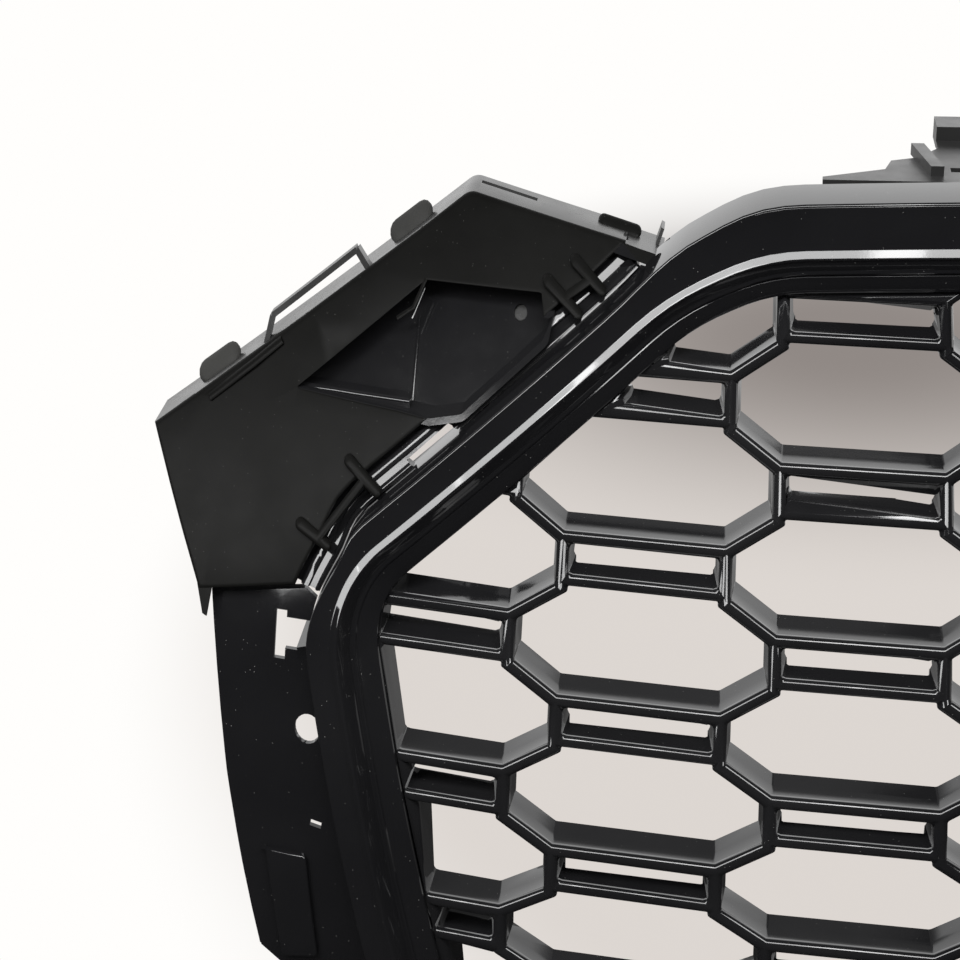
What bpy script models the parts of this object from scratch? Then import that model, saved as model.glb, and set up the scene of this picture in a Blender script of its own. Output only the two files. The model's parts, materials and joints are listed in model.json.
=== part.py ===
"""Front grille of a passenger car, modelled piece by piece as it would be unscrewed on a bench.

X runs across the car, Y runs back into it and Z is up. Shapes are drawn in millimetres in the
front view (x, z) and given depth along Y; the last step turns them into metres about the origin,
which is the middle of the top rail's fixing face.
"""

import math

import bmesh
import bpy
from mathutils import Matrix, Vector

MM = 0.001

# Overall shape of the front: a curved body surface that every panel follows.
BELLY_Z = -256.0  # height at which the surface stands furthest forward
PROFILE_RADIUS = 293.0  # radius of the side profile
SWEEP = 18.5  # how far the surface falls back at SWEEP_AT from the centre
SWEEP_AT = 330.0
SWEEP_POWER = 2.4

# Honeycomb: eight-sided cells in staggered columns, with a flat slot between stacked cells.
COLUMN_PITCH = 110.0
ROW_PITCH = 70.5
CELL_HALF = 42.0  # half the length of a cell's flat bottom
CELL_DROP = 24.6  # centre of a cell down to its bottom bar
SLOT_STEP = 3.2  # height of a slot's thin bar above the corner beside it
BAR_DEPTH = 23.5
BAR_FRONT = 3.3  # half thickness just behind a main bar's rounded front
THIN_FRONT = 2.8
BAR_BACK = 5.4  # half thickness at the back, wider by the moulding draft
THIN_BACK = 4.4
NOSE = 2.4  # depth of a bar's rounded front
COLUMNS = 4
ROWS = 6
ON_LINE = 1e-3
SHEET_SOLVER = "MANIFOLD"  # the exact solver leaves open edges where these thin pieces are joined

# Surround: a closed six-sided trim, drawn along the crest of its front.
CREST_CORNERS = ((-299.0, 99.8, 140.0), (-494.0, -51.5, 55.0), (-430.0, -316.0, 46.0))
CROWN = 9.2
CREST_PROUD = 20.0  # how far the crest stands in front of the body surface
BANDS = ((8.0, 26.8), (42.0, 15.0), (60.0, 11.0), (95.0, 16.2), (180.0, 20.0))  # width by angle
BAND_DROP = 9.5
LIP = 20.5  # crest in to the edge of the opening
RING_DEPTH = 46.0
WALL = 3.0
GAP = 0.4  # clearance between touching pieces
SEAM = 0.6  # visible gap between the trim and the pieces beside it
STEP_ALONG = 46.0  # longest straight stretch of the trim between two sections

BOSS_AT = 6.0  # screw bosses sit this far outside the crest
BOSS_RADIUS = 4.5
BOSS_BACK = 4.5  # how far a boss stands out behind the trim's back rim
TAB_HALF = 8.0
FRAME = 9.0  # width of the mesh insert's frame, hidden behind the trim's lip

WING_BACK = -14.0  # wing face, behind (+) or in front (-) of the body surface
PANEL_BACK = -4.0
SKIN = 3.0  # thickness of the wings, side panels and rails
CHANNEL = 14.0  # width of the sunk channel between a wing's face and the trim
CHANNEL_FLOOR = 9.0
WING_DEPTH = 33.0

WEB_AT = 135.4  # front of the top rail's web, just behind the trim
SHELF_TOP = 131.0
RAIL_FRONT = 215.0  # the raised block along the back of the top rail's shelf
RAIL_BACK = 237.0
RAIL_TOP = 139.0
RIVETS_AT = (60.0, 150.0)
RIVET_SEAT = 6.0  # the rivets sit this far below the fixing face
PIN_STROKE = 6.0

GLOSS = ((0.008, 0.008, 0.009), 0.06)
SATIN = ((0.028, 0.028, 0.027), 0.42)
MATT = ((0.02, 0.02, 0.02), 0.7)
BUFFER = ((0.035, 0.036, 0.03), 0.8)
ZINC = ((0.46, 0.46, 0.44), 0.35)

ORIGIN = Vector((0.0, (RAIL_FRONT + RAIL_BACK) / 2, RAIL_TOP))


def body(x, z):
    """Depth of the body surface at a point of the front view."""
    profile = ((z - BELLY_Z) ** 2 - BELLY_Z**2) / (2 * PROFILE_RADIUS)
    return profile + SWEEP * abs(x / SWEEP_AT) ** SWEEP_POWER


def steepness(x, z):
    """Length of depth gained per millimetre measured square to the surface."""
    along_z = (body(x, z + 1) - body(x, z - 1)) / 2
    along_x = (body(x + 1, z) - body(x - 1, z)) / 2
    return math.sqrt(1 + along_z**2 + along_x**2)


# ---------------------------------------------------------------- scene helpers


def clear_scene():
    for obj in list(bpy.data.objects):
        bpy.data.objects.remove(obj)


def material(name, look, metallic=0.0):
    colour, roughness = look
    made = bpy.data.materials.new(name)
    made.use_nodes = True
    shader = made.node_tree.nodes["Principled BSDF"]
    shader.inputs["Base Color"].default_value = (*colour, 1.0)
    shader.inputs["Roughness"].default_value = roughness
    shader.inputs["Metallic"].default_value = metallic
    made.diffuse_color = (*colour, 1.0)
    return made


def scratch(bm, name="scratch"):
    """A helper object in millimetres that never becomes a piece."""
    mesh = bpy.data.meshes.new(name)
    bmesh.ops.recalc_face_normals(bm, faces=bm.faces)
    bm.to_mesh(mesh)
    bm.free()
    obj = bpy.data.objects.new(name, mesh)
    bpy.context.scene.collection.objects.link(obj)
    obj.hide_render = True
    obj.display_type = "WIRE"
    return obj


def combine(base, steps, solver="EXACT"):
    """Applies Booleans in order and returns the result as a bmesh; the helpers are removed."""
    start = scratch(base)
    helpers = [start]
    for operation, bm in steps:
        helper = scratch(bm)
        modifier = start.modifiers.new(operation.lower(), "BOOLEAN")
        modifier.operation = operation
        modifier.object = helper
        modifier.solver = solver
        helpers.append(helper)
    graph = bpy.context.evaluated_depsgraph_get()
    result = bpy.data.meshes.new_from_object(start.evaluated_get(graph))
    joined = bmesh.new()
    joined.from_mesh(result)
    bpy.data.meshes.remove(result)
    for helper in helpers:
        bpy.data.objects.remove(helper)
    return joined


def piece(name, bm, look, metallic=0.0, smooth=35.0):
    """Turns a bmesh in millimetres into a finished object in metres about the origin."""
    bmesh.ops.remove_doubles(bm, verts=bm.verts, dist=1e-4)
    bmesh.ops.triangulate(bm, faces=[f for f in bm.faces if len(f.verts) > 4])
    bmesh.ops.recalc_face_normals(bm, faces=bm.faces)
    centre = sum((v.co for v in bm.verts), Vector()) / len(bm.verts)
    for vert in bm.verts:
        vert.co = (vert.co - centre) * MM
    mesh = bpy.data.meshes.new(name)
    bm.to_mesh(mesh)
    bm.free()
    mesh.shade_smooth()
    mesh.set_sharp_from_angle(angle=math.radians(smooth))
    mesh.materials.append(material(name, look, metallic))
    obj = bpy.data.objects.new(name, mesh)
    obj.location = (centre - ORIGIN) * MM
    bpy.context.scene.collection.objects.link(obj)
    return obj


def mirrored(bm):
    """A copy reflected in the car's centre plane."""
    other = bm.copy()
    for vert in other.verts:
        vert.co.x = -vert.co.x
    bmesh.ops.reverse_faces(other, faces=other.faces)
    return other


# ---------------------------------------------------------------- outlines in the front view


def rounded(corners, segment_angle=14.0):
    """A closed outline from (x, z, radius) corners, each turned into an arc."""
    points = []
    for i, (x, z, radius) in enumerate(corners):
        here = Vector((x, z))
        before = (Vector(corners[i - 1][:2]) - here).normalized()
        after = (Vector(corners[(i + 1) % len(corners)][:2]) - here).normalized()
        half = before.angle(after) / 2
        if radius == 0:
            points.append(here)
            continue
        centre = here + (before + after).normalized() * radius / math.sin(half)
        start = here + before * radius / math.tan(half) - centre
        turn = math.pi - 2 * half
        if start.x * after.y - start.y * after.x < 0:
            turn = -turn
        count = max(2, math.ceil(abs(math.degrees(turn)) / segment_angle))
        for step in range(count + 1):
            points.append(centre + Matrix.Rotation(turn * step / count, 2) @ start)
    return points


def divided(points, longest):
    """The closed outline with long stretches split evenly."""
    result = []
    for i, point in enumerate(points):
        following = points[(i + 1) % len(points)]
        count = max(1, math.ceil((following - point).length / longest - 0.01))
        result += [point.lerp(following, step / count) for step in range(count)]
    return result


def crest_path(segment_angle=14.0, longest=STEP_ALONG):
    """Stations (point, outward direction) along the trim's crest, clockwise from top left."""
    left = list(CREST_CORNERS)
    right = [(-x, z, r) for x, z, r in reversed(left)]
    points = divided(rounded(right + left, segment_angle), longest)
    for point in points:
        if point.y > 0 and abs(point.x) < -CREST_CORNERS[0][0]:
            point.y += CROWN * (1 - (point.x / CREST_CORNERS[0][0]) ** 2)
    stations = []
    for i, point in enumerate(points):
        along = points[(i + 1) % len(points)] - points[i - 1]
        outward = Vector((-along.y, along.x)).normalized()
        if outward.dot(point - Vector((0, -110))) < 0:
            outward = -outward
        stations.append((point, outward))
    return stations


def crest_depth(point):
    return body(*point) - CREST_PROUD * steepness(*point)


def band_width(outward):
    """Width of the trim's outer band, wide along the top and narrow on the slanted sides."""
    angle = math.degrees(math.acos(max(-1.0, min(1.0, outward.y))))
    before = BANDS[0]
    for here in BANDS:
        if angle <= here[0]:
            share = (angle - before[0]) / (here[0] - before[0]) if here != before else 0.0
            share = share * share * (3 - 2 * share)
            return before[1] + (here[1] - before[1]) * share
        before = here
    return before[1]


def prism(outline, front, back):
    """A straight plate between two depths; the outline is a list of (x, z)."""
    bm = bmesh.new()
    near = [bm.verts.new((x, front, z)) for x, z in outline]
    far = [bm.verts.new((x, back, z)) for x, z in outline]
    bm.faces.new(near)
    bm.faces.new(reversed(far))
    for i in range(len(outline)):
        j = (i + 1) % len(outline)
        bm.faces.new((near[i], far[i], far[j], near[j]))
    return bm


def merged(parts):
    """Several separate closed shapes held in one bmesh."""
    result = bmesh.new()
    for part in parts:
        mesh = bpy.data.meshes.new("part")
        part.to_mesh(mesh)
        part.free()
        result.from_mesh(mesh)
        bpy.data.meshes.remove(mesh)
    return result


def grown(outline, distance):
    """The outline pushed outward (or inward if negative), with mitred corners."""
    points = [Vector(p) for p in outline]
    area = sum(a.x * b.y - a.y * b.x for a, b in zip(points, points[1:] + points[:1]))
    sign = 1 if area > 0 else -1
    result = []
    for i, point in enumerate(points):
        before = (point - points[i - 1]).normalized()
        after = (points[(i + 1) % len(points)] - point).normalized()
        first = Vector((before.y, -before.x)) * sign
        second = Vector((after.y, -after.x)) * sign
        result.append(point + (first + second) * distance / (1 + first.dot(second)))
    return result


def draped(bm, offset, spacing=45.0):
    """Cuts the flat shape into strips and bends it onto the body surface."""
    bmesh.ops.recalc_face_normals(bm, faces=bm.faces)
    for axis in (0, 2):
        values = [v.co[axis] for v in bm.verts]
        normal = Vector((1, 0, 0)) if axis == 0 else Vector((0, 0, 1))
        first = math.floor(min(values) / spacing) + 1
        for step in range(first, math.ceil(max(values) / spacing)):
            bmesh.ops.bisect_plane(
                bm,
                geom=bm.verts[:] + bm.edges[:] + bm.faces[:],
                dist=1e-4,
                plane_co=normal * (step * spacing + 0.37),
                plane_no=normal,
            )
    bmesh.ops.triangulate(bm, faces=bm.faces)
    for vert in bm.verts:
        vert.co.y += offset + body(vert.co.x, vert.co.z)
    return bm


# ---------------------------------------------------------------- honeycomb mesh insert


def cell_outline(x, z):
    """Corners of one cell, each with the kind of bar that starts there."""
    side = COLUMN_PITCH - CELL_HALF
    rise = ROW_PITCH / 2 - CELL_DROP
    top = CELL_DROP + SLOT_STEP
    right = [
        (CELL_HALF, -CELL_DROP, "main"),
        (side, -rise, "main"),
        (side, SLOT_STEP - rise, "main"),
        (side, rise, "main"),
        (CELL_HALF, CELL_DROP, "main"),
        (CELL_HALF, top, "thin"),
    ]
    left = [
        (-CELL_HALF, top, "main"),
        (-CELL_HALF, CELL_DROP, "main"),
        (-side, rise, "main"),
        (-side, SLOT_STEP - rise, "main"),
        (-side, -rise, "main"),
        (-CELL_HALF, -CELL_DROP, "main"),
    ]
    return [(Vector((x + dx, z + dz)), kind) for dx, dz, kind in right + left]


def slot_outline(x, z):
    """The flat slot under the cell whose centre is given."""
    top = -CELL_DROP
    bottom = CELL_DROP + SLOT_STEP - ROW_PITCH
    corners = [
        (-CELL_HALF, bottom, "thin"),
        (CELL_HALF, bottom, "main"),
        (CELL_HALF, top, "main"),
        (-CELL_HALF, top, "main"),
    ]
    return [(Vector((x + dx, z + dz)), kind) for dx, dz, kind in corners]


def clipped(cell, window):
    """The part of a cell inside a convex window that runs counter-clockwise."""
    for i, start in enumerate(window):
        end = window[(i + 1) % len(window)]
        inward = Vector((start.y - end.y, end.x - start.x)).normalized()
        kept = []
        for j, (point, kind) in enumerate(cell):
            following = cell[(j + 1) % len(cell)][0]
            here = (point - start).dot(inward)
            there = (following - start).dot(inward)
            if here > -ON_LINE:
                leaving = here < ON_LINE and there < -ON_LINE
                kept.append((point, "border" if leaving else kind))
            if max(here, there) >= ON_LINE and min(here, there) <= -ON_LINE:
                crossing = point.lerp(following, here / (here - there))
                kept.append((crossing, "border" if here > 0 else kind))
        cell = kept
    return cell if len(cell) > 2 else []


def with_corners(cell, window):
    """The cell with the window's own corners added where they lie along its border."""
    result = []
    for j, (point, kind) in enumerate(cell):
        result.append((point, kind))
        if kind != "border":
            continue
        side = cell[(j + 1) % len(cell)][0] - point
        along = side.normalized()
        between = []
        for corner in window:
            offset = corner - point
            run = offset.dot(along)
            if 0.01 < run < side.length - 0.01 and (offset - along * run).length < 0.01:
                between.append((run, corner))
        result += [(corner, kind) for _, corner in sorted(between, key=lambda item: item[0])]
    return result


def inset(cell, distances):
    """Positions of the cell's corners after each side moves in by its own distance."""
    count = len(cell)
    lines = []
    for i, (point, kind) in enumerate(cell):
        along = cell[(i + 1) % count][0] - point
        along = along.normalized() if along.length > 1e-6 else Vector((1, 0))
        lines.append((point + Vector((-along.y, along.x)) * distances[kind], along))
    active = list(range(count))
    while len(active) > 2:
        corners = {}
        for k, line in enumerate(active):
            (a, da), (b, db) = lines[active[k - 1]], lines[line]
            cross = da.x * db.y - da.y * db.x
            if abs(cross) < 1e-6:
                corners[line] = b
            else:
                step = ((b - a).x * db.y - (b - a).y * db.x) / cross
                corners[line] = a + da * step
        lengths = [
            ((corners[active[(k + 1) % len(active)]] - corners[line]).dot(lines[line][1]), line)
            for k, line in enumerate(active)
        ]
        shortest, worst = min(lengths)
        if shortest > 0:
            break
        active.remove(worst)
    if len(active) < 3:
        return None
    return [corners[min((i for i in active if i >= k), default=active[0])] for k in range(count)]


def honeycomb_cells(window):
    cells = []
    for column in range(-COLUMNS - 1, COLUMNS + 2):
        shift = 0 if column % 2 else ROW_PITCH / 2
        for row in range(-2, ROWS):
            centre = (column * COLUMN_PITCH, shift - ROW_PITCH * row)
            cells.append(clipped(cell_outline(*centre), window))
            cells.append(clipped(slot_outline(*centre), window))
    return [with_corners(cell, window) for cell in cells if cell]


def corners_only(stations, straight=0.25):
    """The stations that shape the opening, leaving out those along its straight sides."""
    kept = list(stations)
    i = 0
    while i < len(kept):
        here, before, after = (kept[k % len(kept)] for k in (i, i - 1, i + 1))
        spots = [point - outward * LIP for point, outward in (before, here, after)]
        along = (spots[2] - spots[0]).normalized()
        offset = spots[1] - spots[0]
        if abs(offset.x * along.y - offset.y * along.x) < straight:
            kept.pop(i)
        else:
            i += 1
    return kept


def mesh_lattice(stations):
    """The honeycomb and its frame, before the screw tabs are added."""
    stations = corners_only(stations)
    window = [point - outward * LIP for point, outward in stations]
    frame = [point - outward * (LIP - FRAME) for point, outward in stations]
    if sum(a.x * b.y - a.y * b.x for a, b in zip(window, window[1:] + window[:1])) < 0:
        window.reverse()
        frame.reverse()
    bm = bmesh.new()
    known = {}

    def vertex(point, depth, level):
        key = (round(point.x, 3), round(point.y, 3), level)
        if key not in known:
            known[key] = bm.verts.new((point.x, depth, point.y))
        return known[key]

    def face(corners):
        unique = list(dict.fromkeys(corners))
        if len(unique) > 2:
            bm.faces.new(unique)

    levels = (
        ({"main": BAR_FRONT, "thin": THIN_FRONT, "border": 0.8}, NOSE),
        ({"main": BAR_BACK, "thin": THIN_BACK, "border": 3.0}, BAR_DEPTH),
    )
    rim = set()
    for cell in honeycomb_cells(window):
        rim.update((round(p.x, 3), round(p.y, 3)) for p, _ in cell)
        ridge = [vertex(p, body(*p), 0) for p, _ in cell]
        valley = [vertex(p, body(*p) + BAR_DEPTH, 3) for p, _ in cell]
        loops = [ridge]
        for level, (distances, depth) in enumerate(levels, 1):
            moved = inset(cell, distances)
            if moved is None:
                break
            spots = {}
            for (p, _), q in zip(cell, moved):
                spots.setdefault(tuple(q), []).append(body(*p))
            depths = [sum(spots[tuple(q)]) / len(spots[tuple(q)]) + depth for q in moved]
            loops.append([bm.verts.new((q.x, y, q.y)) for q, y in zip(moved, depths)])
        if len(loops) < 3:
            face(ridge)
            face(valley[::-1])
            continue
        loops.append(valley)
        for first, second in zip(loops, loops[1:]):
            for i in range(len(cell)):
                j = (i + 1) % len(cell)
                face((first[i], first[j], second[j], second[i]))
    for i, start in enumerate(window):
        end = window[(i + 1) % len(window)]
        along = (end - start).normalized()
        between = []
        for x, z in rim:
            offset = Vector((x, z)) - start
            if abs(offset.x * along.y - offset.y * along.x) < 0.002:
                if 0.002 < offset.dot(along) < (end - start).length - 0.002:
                    between.append((offset.dot(along), Vector((x, z))))
        inner = [start] + [p for _, p in sorted(between, key=lambda item: item[0])] + [end]
        outer = [frame[(i + 1) % len(frame)], frame[i]]
        for level, depth in ((0, 0.0), (3, BAR_DEPTH)):
            face(
                [vertex(p, body(*p) + depth, level) for p in inner]
                + [vertex(p, body(*p) + depth, level + 10) for p in outer]
            )
        near = [vertex(p, body(*p), 10) for p in outer]
        far = [vertex(p, body(*p) + BAR_DEPTH, 13) for p in outer]
        face((near[0], near[1], far[1], far[0]))
    bmesh.ops.remove_doubles(bm, verts=bm.verts, dist=0.002)
    return bm


# ---------------------------------------------------------------- surround trim


def trim_section(point, outward):
    """Closed section of the trim at one station, as points in space."""
    crest = crest_depth(point)
    band = band_width(outward)
    scale = band / 28.0
    lip_at = point - outward * (LIP - GAP)
    lip = body(*lip_at) - GAP - WALL
    run = lip - crest
    under = LIP - FRAME + 0.6
    seat = body(*(point - outward * under)) - GAP
    profile = [
        (band, crest + RING_DEPTH),
        (band, crest + BAND_DROP * scale),
        (band - 0.8, crest + BAND_DROP * scale - 0.6),
        (15.0 * scale, crest + 7.4 * scale),
        (6.0 * scale, crest + 4.0 * scale),
        (1.4, crest + 0.8),
        (0.0, crest),
        (-1.4, crest + 0.9),
        (-7.2, crest + 0.62 * run),
        (-9.2, crest + 0.68 * run),
        (GAP - LIP, lip),
        (GAP - LIP, body(*lip_at) - GAP),
        (-under, seat),
        (-4.0, max(crest + 0.5 * run + WALL, crest + 5.5)),
        (1.0, crest + WALL + 1.2),
        (15.0 * scale, crest + 7.4 * scale + WALL),
        (band - WALL, crest + BAND_DROP * scale + WALL),
        (band - WALL, crest + RING_DEPTH),
    ]
    return [Vector((point.x + outward.x * s, y, point.y + outward.y * s)) for s, y in profile]


def swept(sections):
    """A closed ring from equal sections."""
    bm = bmesh.new()
    loops = [[bm.verts.new(p) for p in section] for section in sections]
    for i, loop in enumerate(loops):
        following = loops[(i + 1) % len(loops)]
        for j in range(len(loop)):
            k = (j + 1) % len(loop)
            bm.faces.new((loop[j], loop[k], following[k], following[j]))
    bmesh.ops.recalc_face_normals(bm, faces=bm.faces)
    return bm


def cylinder(point, front, back, radius, sides=10):
    """A round bar along Y at a point of the front view."""
    turns = [math.tau * k / sides for k in range(sides)]
    ring = [(point.x + radius * math.cos(a), point.y + radius * math.sin(a)) for a in turns]
    return prism(ring, front, back)


def boss_front(point, outward):
    """Depth at which a screw boss starts, just inside the trim's front wall."""
    band = band_width(outward)
    share = min(BOSS_AT + BOSS_RADIUS, band - 0.8) / band
    return crest_depth(point) + BAND_DROP * band / 28.0 * (1 - (1 - share) ** 2.1) + 1.0


def surround(seats):
    ring = swept([trim_section(*station) for station in crest_path()])
    bosses = []
    holes = []
    for point, outward in seats:
        place = point + outward * BOSS_AT
        bosses.append(cylinder(place, boss_front(point, outward), clamp(point) - GAP, BOSS_RADIUS))
        holes.append(cylinder(place, clamp(point) - 18.0, clamp(point) + 5, 2.1, 8))
    return combine(ring, [("UNION", merged(bosses)), ("DIFFERENCE", merged(holes))])


def block(point, outward, start, end, front, back, half=TAB_HALF):
    """A block square to the trim, from start to end outside the crest."""
    along = Vector((-outward.y, outward.x))
    corners = [
        point + outward * start - along * half,
        point + outward * end - along * half,
        point + outward * end + along * half,
        point + outward * start + along * half,
    ]
    return prism(corners, front, back)


def clamp(point):
    """Depth at which a tab lies on the trim's screw boss."""
    return crest_depth(point) + RING_DEPTH + BOSS_BACK + GAP


def tab(point, outward, start, end):
    """A screw tab lying on the trim's boss."""
    return block(point, outward, start, end, clamp(point), clamp(point) + SKIN)


def tab_hole(point, outward):
    return cylinder(point + outward * BOSS_AT, clamp(point) - 2, clamp(point) + 30, 2.1, 8)


def screw_mesh():
    """Pan-head screw along +Y: the head's underside is at y = 0 and the shank points to -Y."""
    bm = bmesh.new()
    profile = ((0.0, 3.2), (2.6, 2.9), (4.0, 1.6), (4.2, 0.0), (1.7, 0.0), (1.7, -13.0), (0.0, -15.5))
    verts = [bm.verts.new((radius, y, 0.0)) for radius, y in profile]
    edges = [bm.edges.new(pair) for pair in zip(verts, verts[1:])]
    bmesh.ops.spin(
        bm,
        geom=verts + edges,
        cent=(0, 0, 0),
        axis=(0, 1, 0),
        angle=math.tau,
        steps=12,
        use_merge=True,
    )
    bmesh.ops.remove_doubles(bm, verts=bm.verts, dist=1e-4)
    bmesh.ops.recalc_face_normals(bm, faces=bm.faces)
    for vert in bm.verts:
        vert.co *= MM
    mesh = bpy.data.meshes.new("trim_screw")
    bm.to_mesh(mesh)
    bm.free()
    mesh.shade_smooth()
    mesh.set_sharp_from_angle(angle=math.radians(40))
    mesh.materials.append(material("trim_screw", ZINC, 1.0))
    return mesh


def drive_screw(name, mesh, point, outward, under_head=None):
    """Places one screw in the trim's boss at a station, through a tab."""
    place = point + outward * BOSS_AT
    if under_head is None:
        under_head = clamp(point) + SKIN
    obj = bpy.data.objects.new(name, mesh)
    spot = Vector((place.x, under_head + GAP, place.y))
    obj.location = (spot - ORIGIN) * MM
    bpy.context.scene.collection.objects.link(obj)


def joins(tabs, seats):
    """Boolean steps that add tabs one by one and then drill them."""
    holes = merged(tab_hole(*seat) for seat in seats)
    return [("UNION", part) for part in tabs] + [("DIFFERENCE", holes)]


def mesh_insert(stations, seats):
    tabs = []
    for point, outward in seats:
        middle = FRAME / 2 - LIP
        deep = body(*(point + outward * middle)) + 8
        tabs.append(tab(point, outward, -14.0, BOSS_AT + 6))
        tabs.append(block(point, outward, -18.0, -12.5, deep, clamp(point) + SKIN))
    return combine(mesh_lattice(stations), joins(tabs, seats), SHEET_SOLVER)


# ---------------------------------------------------------------- wings and side panels


def beside_trim(stations, low, high, distance):
    """Points at a distance outside the trim's outer edge, on the left, from low z to high z."""
    return [
        point + outward * (band_width(outward) + distance)
        for point, outward in stations
        if point.x < 0 and low < point.y < high and outward.y > -0.5
    ][::-1]


def shell(outline, depth, thick=SKIN):
    """A tray that is open at the back, as (union body, cutter)."""
    return prism(outline, 0, depth), prism(grown(outline, -thick), thick, depth + 5)


def slot(start, end, half, front, back):
    """A straight bar or slot between two points of the front view."""
    start, end = Vector(start), Vector(end)
    along = (end - start).normalized()
    across = Vector((-along.y, along.x)) * half
    return prism([start - across, end - across, end + across, start + across], front, back)


WING_FACE = ((-566, -60), (-600, 6), (-434, 117))
WING_SPAN = (-62, 80)
WING_POCKET = (
    (-521, 29, 0.5),
    (-490, 27, 3),
    (-463, 25, 3),
    (-446, 23, 3),
    (-429, 26, 4),
    (-388, 59, 5),
    (-381, 74, 4),
    (-391, 78, 4),
    (-454, 79, 4),
)
WINDOW = ((-457, 3), (-436, 20), (-430, 18), (-451, 0))
STRAP = ((-541, 43), (-539, 56.5), (-495, 87.5), (-486, 79))
HOOKS = {
    "upper": (((-387, 84), (-370, 71.5)), ((-373, 93), (-358, 81.5)), ((-378, 77.4), (-364, 86))),
    "lower": (((-511, -26), (-496, -34)), ((-487, 3), (-471, -8.8)), ((-501, -31.4), (-478, -3.8))),
}
BUFFERS = {"outer": (28.0, 52.0), "inner": (150.0, 174.0)}  # along the wing's upper edge


def wing(stations, seats):
    """Left wing, with its face at y = 0 before it is bent onto the body surface."""
    edge = beside_trim(stations, *WING_SPAN, CHANNEL)
    face = [Vector(p) for p in WING_FACE] + edge[::-1]
    tray, hollow = shell(face, WING_DEPTH)
    inside_wall = beside_trim(stations, *WING_SPAN, CHANNEL + 1.5)
    channel = beside_trim(stations, *WING_SPAN, SEAM) + inside_wall[::-1]
    floor = prism(channel, CHANNEL_FLOOR, CHANNEL_FLOOR + SKIN)
    pocket = rounded(WING_POCKET, 30)
    basin = prism(grown(pocket, SKIN), 1.0, 22.0)
    recess = prism(pocket, -5.0, 19.0)
    strap = [
        slot(a, b, 1.4, 4.0 + 0.1 * k, 11.0 - 0.1 * k)
        for k, (a, b) in enumerate(zip(STRAP, STRAP[1:]))
    ]
    cuts = [
        prism([Vector(p) for p in WINDOW], 0.0, 30.0),
        cylinder(Vector((-402, 64.5)), 10.0, 30.0, 4.2),
    ]
    legs = [leg for hook_legs in HOOKS.values() for leg in hook_legs[:2]]
    cuts += [cylinder(Vector(leg[0]), -5.0, 10.0, 1.8, 8) for leg in legs]
    steps = [("DIFFERENCE", hollow), ("UNION", basin), ("UNION", floor)]
    steps += [("UNION", part) for part in strap]
    steps += [("DIFFERENCE", recess), ("DIFFERENCE", merged(cuts))]
    flat = combine(tray, steps, SHEET_SOLVER)
    return fixed_tabs(draped(flat, WING_BACK), seats, WING_BACK + CHANNEL_FLOOR)


def fixed_tabs(bent, seats, depth):
    """Adds the tabs that reach in behind the trim."""
    tabs = []
    for point, outward in seats:
        band = band_width(outward)
        near = body(*(point + outward * (band + 4.0))) + depth + 1.0
        back = max(clamp(point) + SKIN, near + 3.0)
        tabs.append(tab(point, outward, BOSS_AT - 6, band + 4.0))
        tabs.append(block(point, outward, band + 1.2, band + 7.0, min(near, clamp(point)), back))
    return combine(bent, joins(tabs, seats), SHEET_SOLVER)


PANEL_OUTER = ((-560, -64), (-547, -149), (-538, -195), (-529, -240), (-500, -262), (-470, -300))
PAD = ((-531, -184, 3), (-516, -244, 3), (-496, -240, 3), (-502, -184, 3))
TEE = (
    (-523, -69),
    (-523, -91),
    (-517, -91),
    (-517, -86),
    (-509.5, -86),
    (-509.5, -72),
    (-517, -72),
    (-517, -69),
)


def side_panel(stations, seats):
    """Left side panel, beside the lower half of the trim."""
    edge = beside_trim(stations, -292, -70, SEAM)
    outline = [Vector(p) for p in PANEL_OUTER] + edge + [Vector((-508, -64))]
    plate = prism(outline, 0, SKIN)
    inner = [(x + 1.2, z - 0.4) for x, z in PANEL_OUTER]
    wall = [
        slot(a, b, 1.4, 0.6 + 0.02 * k, 25.0 - 0.02 * k)
        for k, (a, b) in enumerate(zip(inner[:4], inner[1:5]))
    ]
    rib = slot((-546, -150), (-503, -141), 2.0, 1.0, 12.0)
    pad = prism(rounded(PAD, 30), -3.0, 2.0)
    cuts = [
        prism([Vector(p) for p in TEE], -5.0, 10.0),
        cylinder(Vector((-505.5, -121.5)), -5.0, 10.0, 6.8, 16),
        slot((-500, -167), (-494, -168), 1.6, -5.0, 10.0),
    ]
    flat = combine(
        plate,
        [("UNION", part) for part in [*wall, rib, pad]] + [("DIFFERENCE", merged(cuts))],
        SHEET_SOLVER,
    )
    return fixed_tabs(draped(flat, PANEL_BACK), seats, PANEL_BACK)


def hook(legs):
    """An H-shaped clip that bridges the channel: two legs, a bar and a peg under each leg."""
    first, second, bar = legs
    parts = [slot(*first, 2.2, -3.6, -GAP), slot(*second, 2.2, -3.6, -GAP)]
    parts.append(slot(*bar, 1.6, -3.0, -GAP - 0.2))
    for leg in legs[:2]:
        start, end = Vector(leg[0]), Vector(leg[1])
        parts.append(cylinder(start + (end - start).normalized() * 0.1, -2.0, 6.0, 1.3, 8))
    base, *others = parts
    return draped(combine(base, [("UNION", part) for part in others]), WING_BACK, 200.0)


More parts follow.
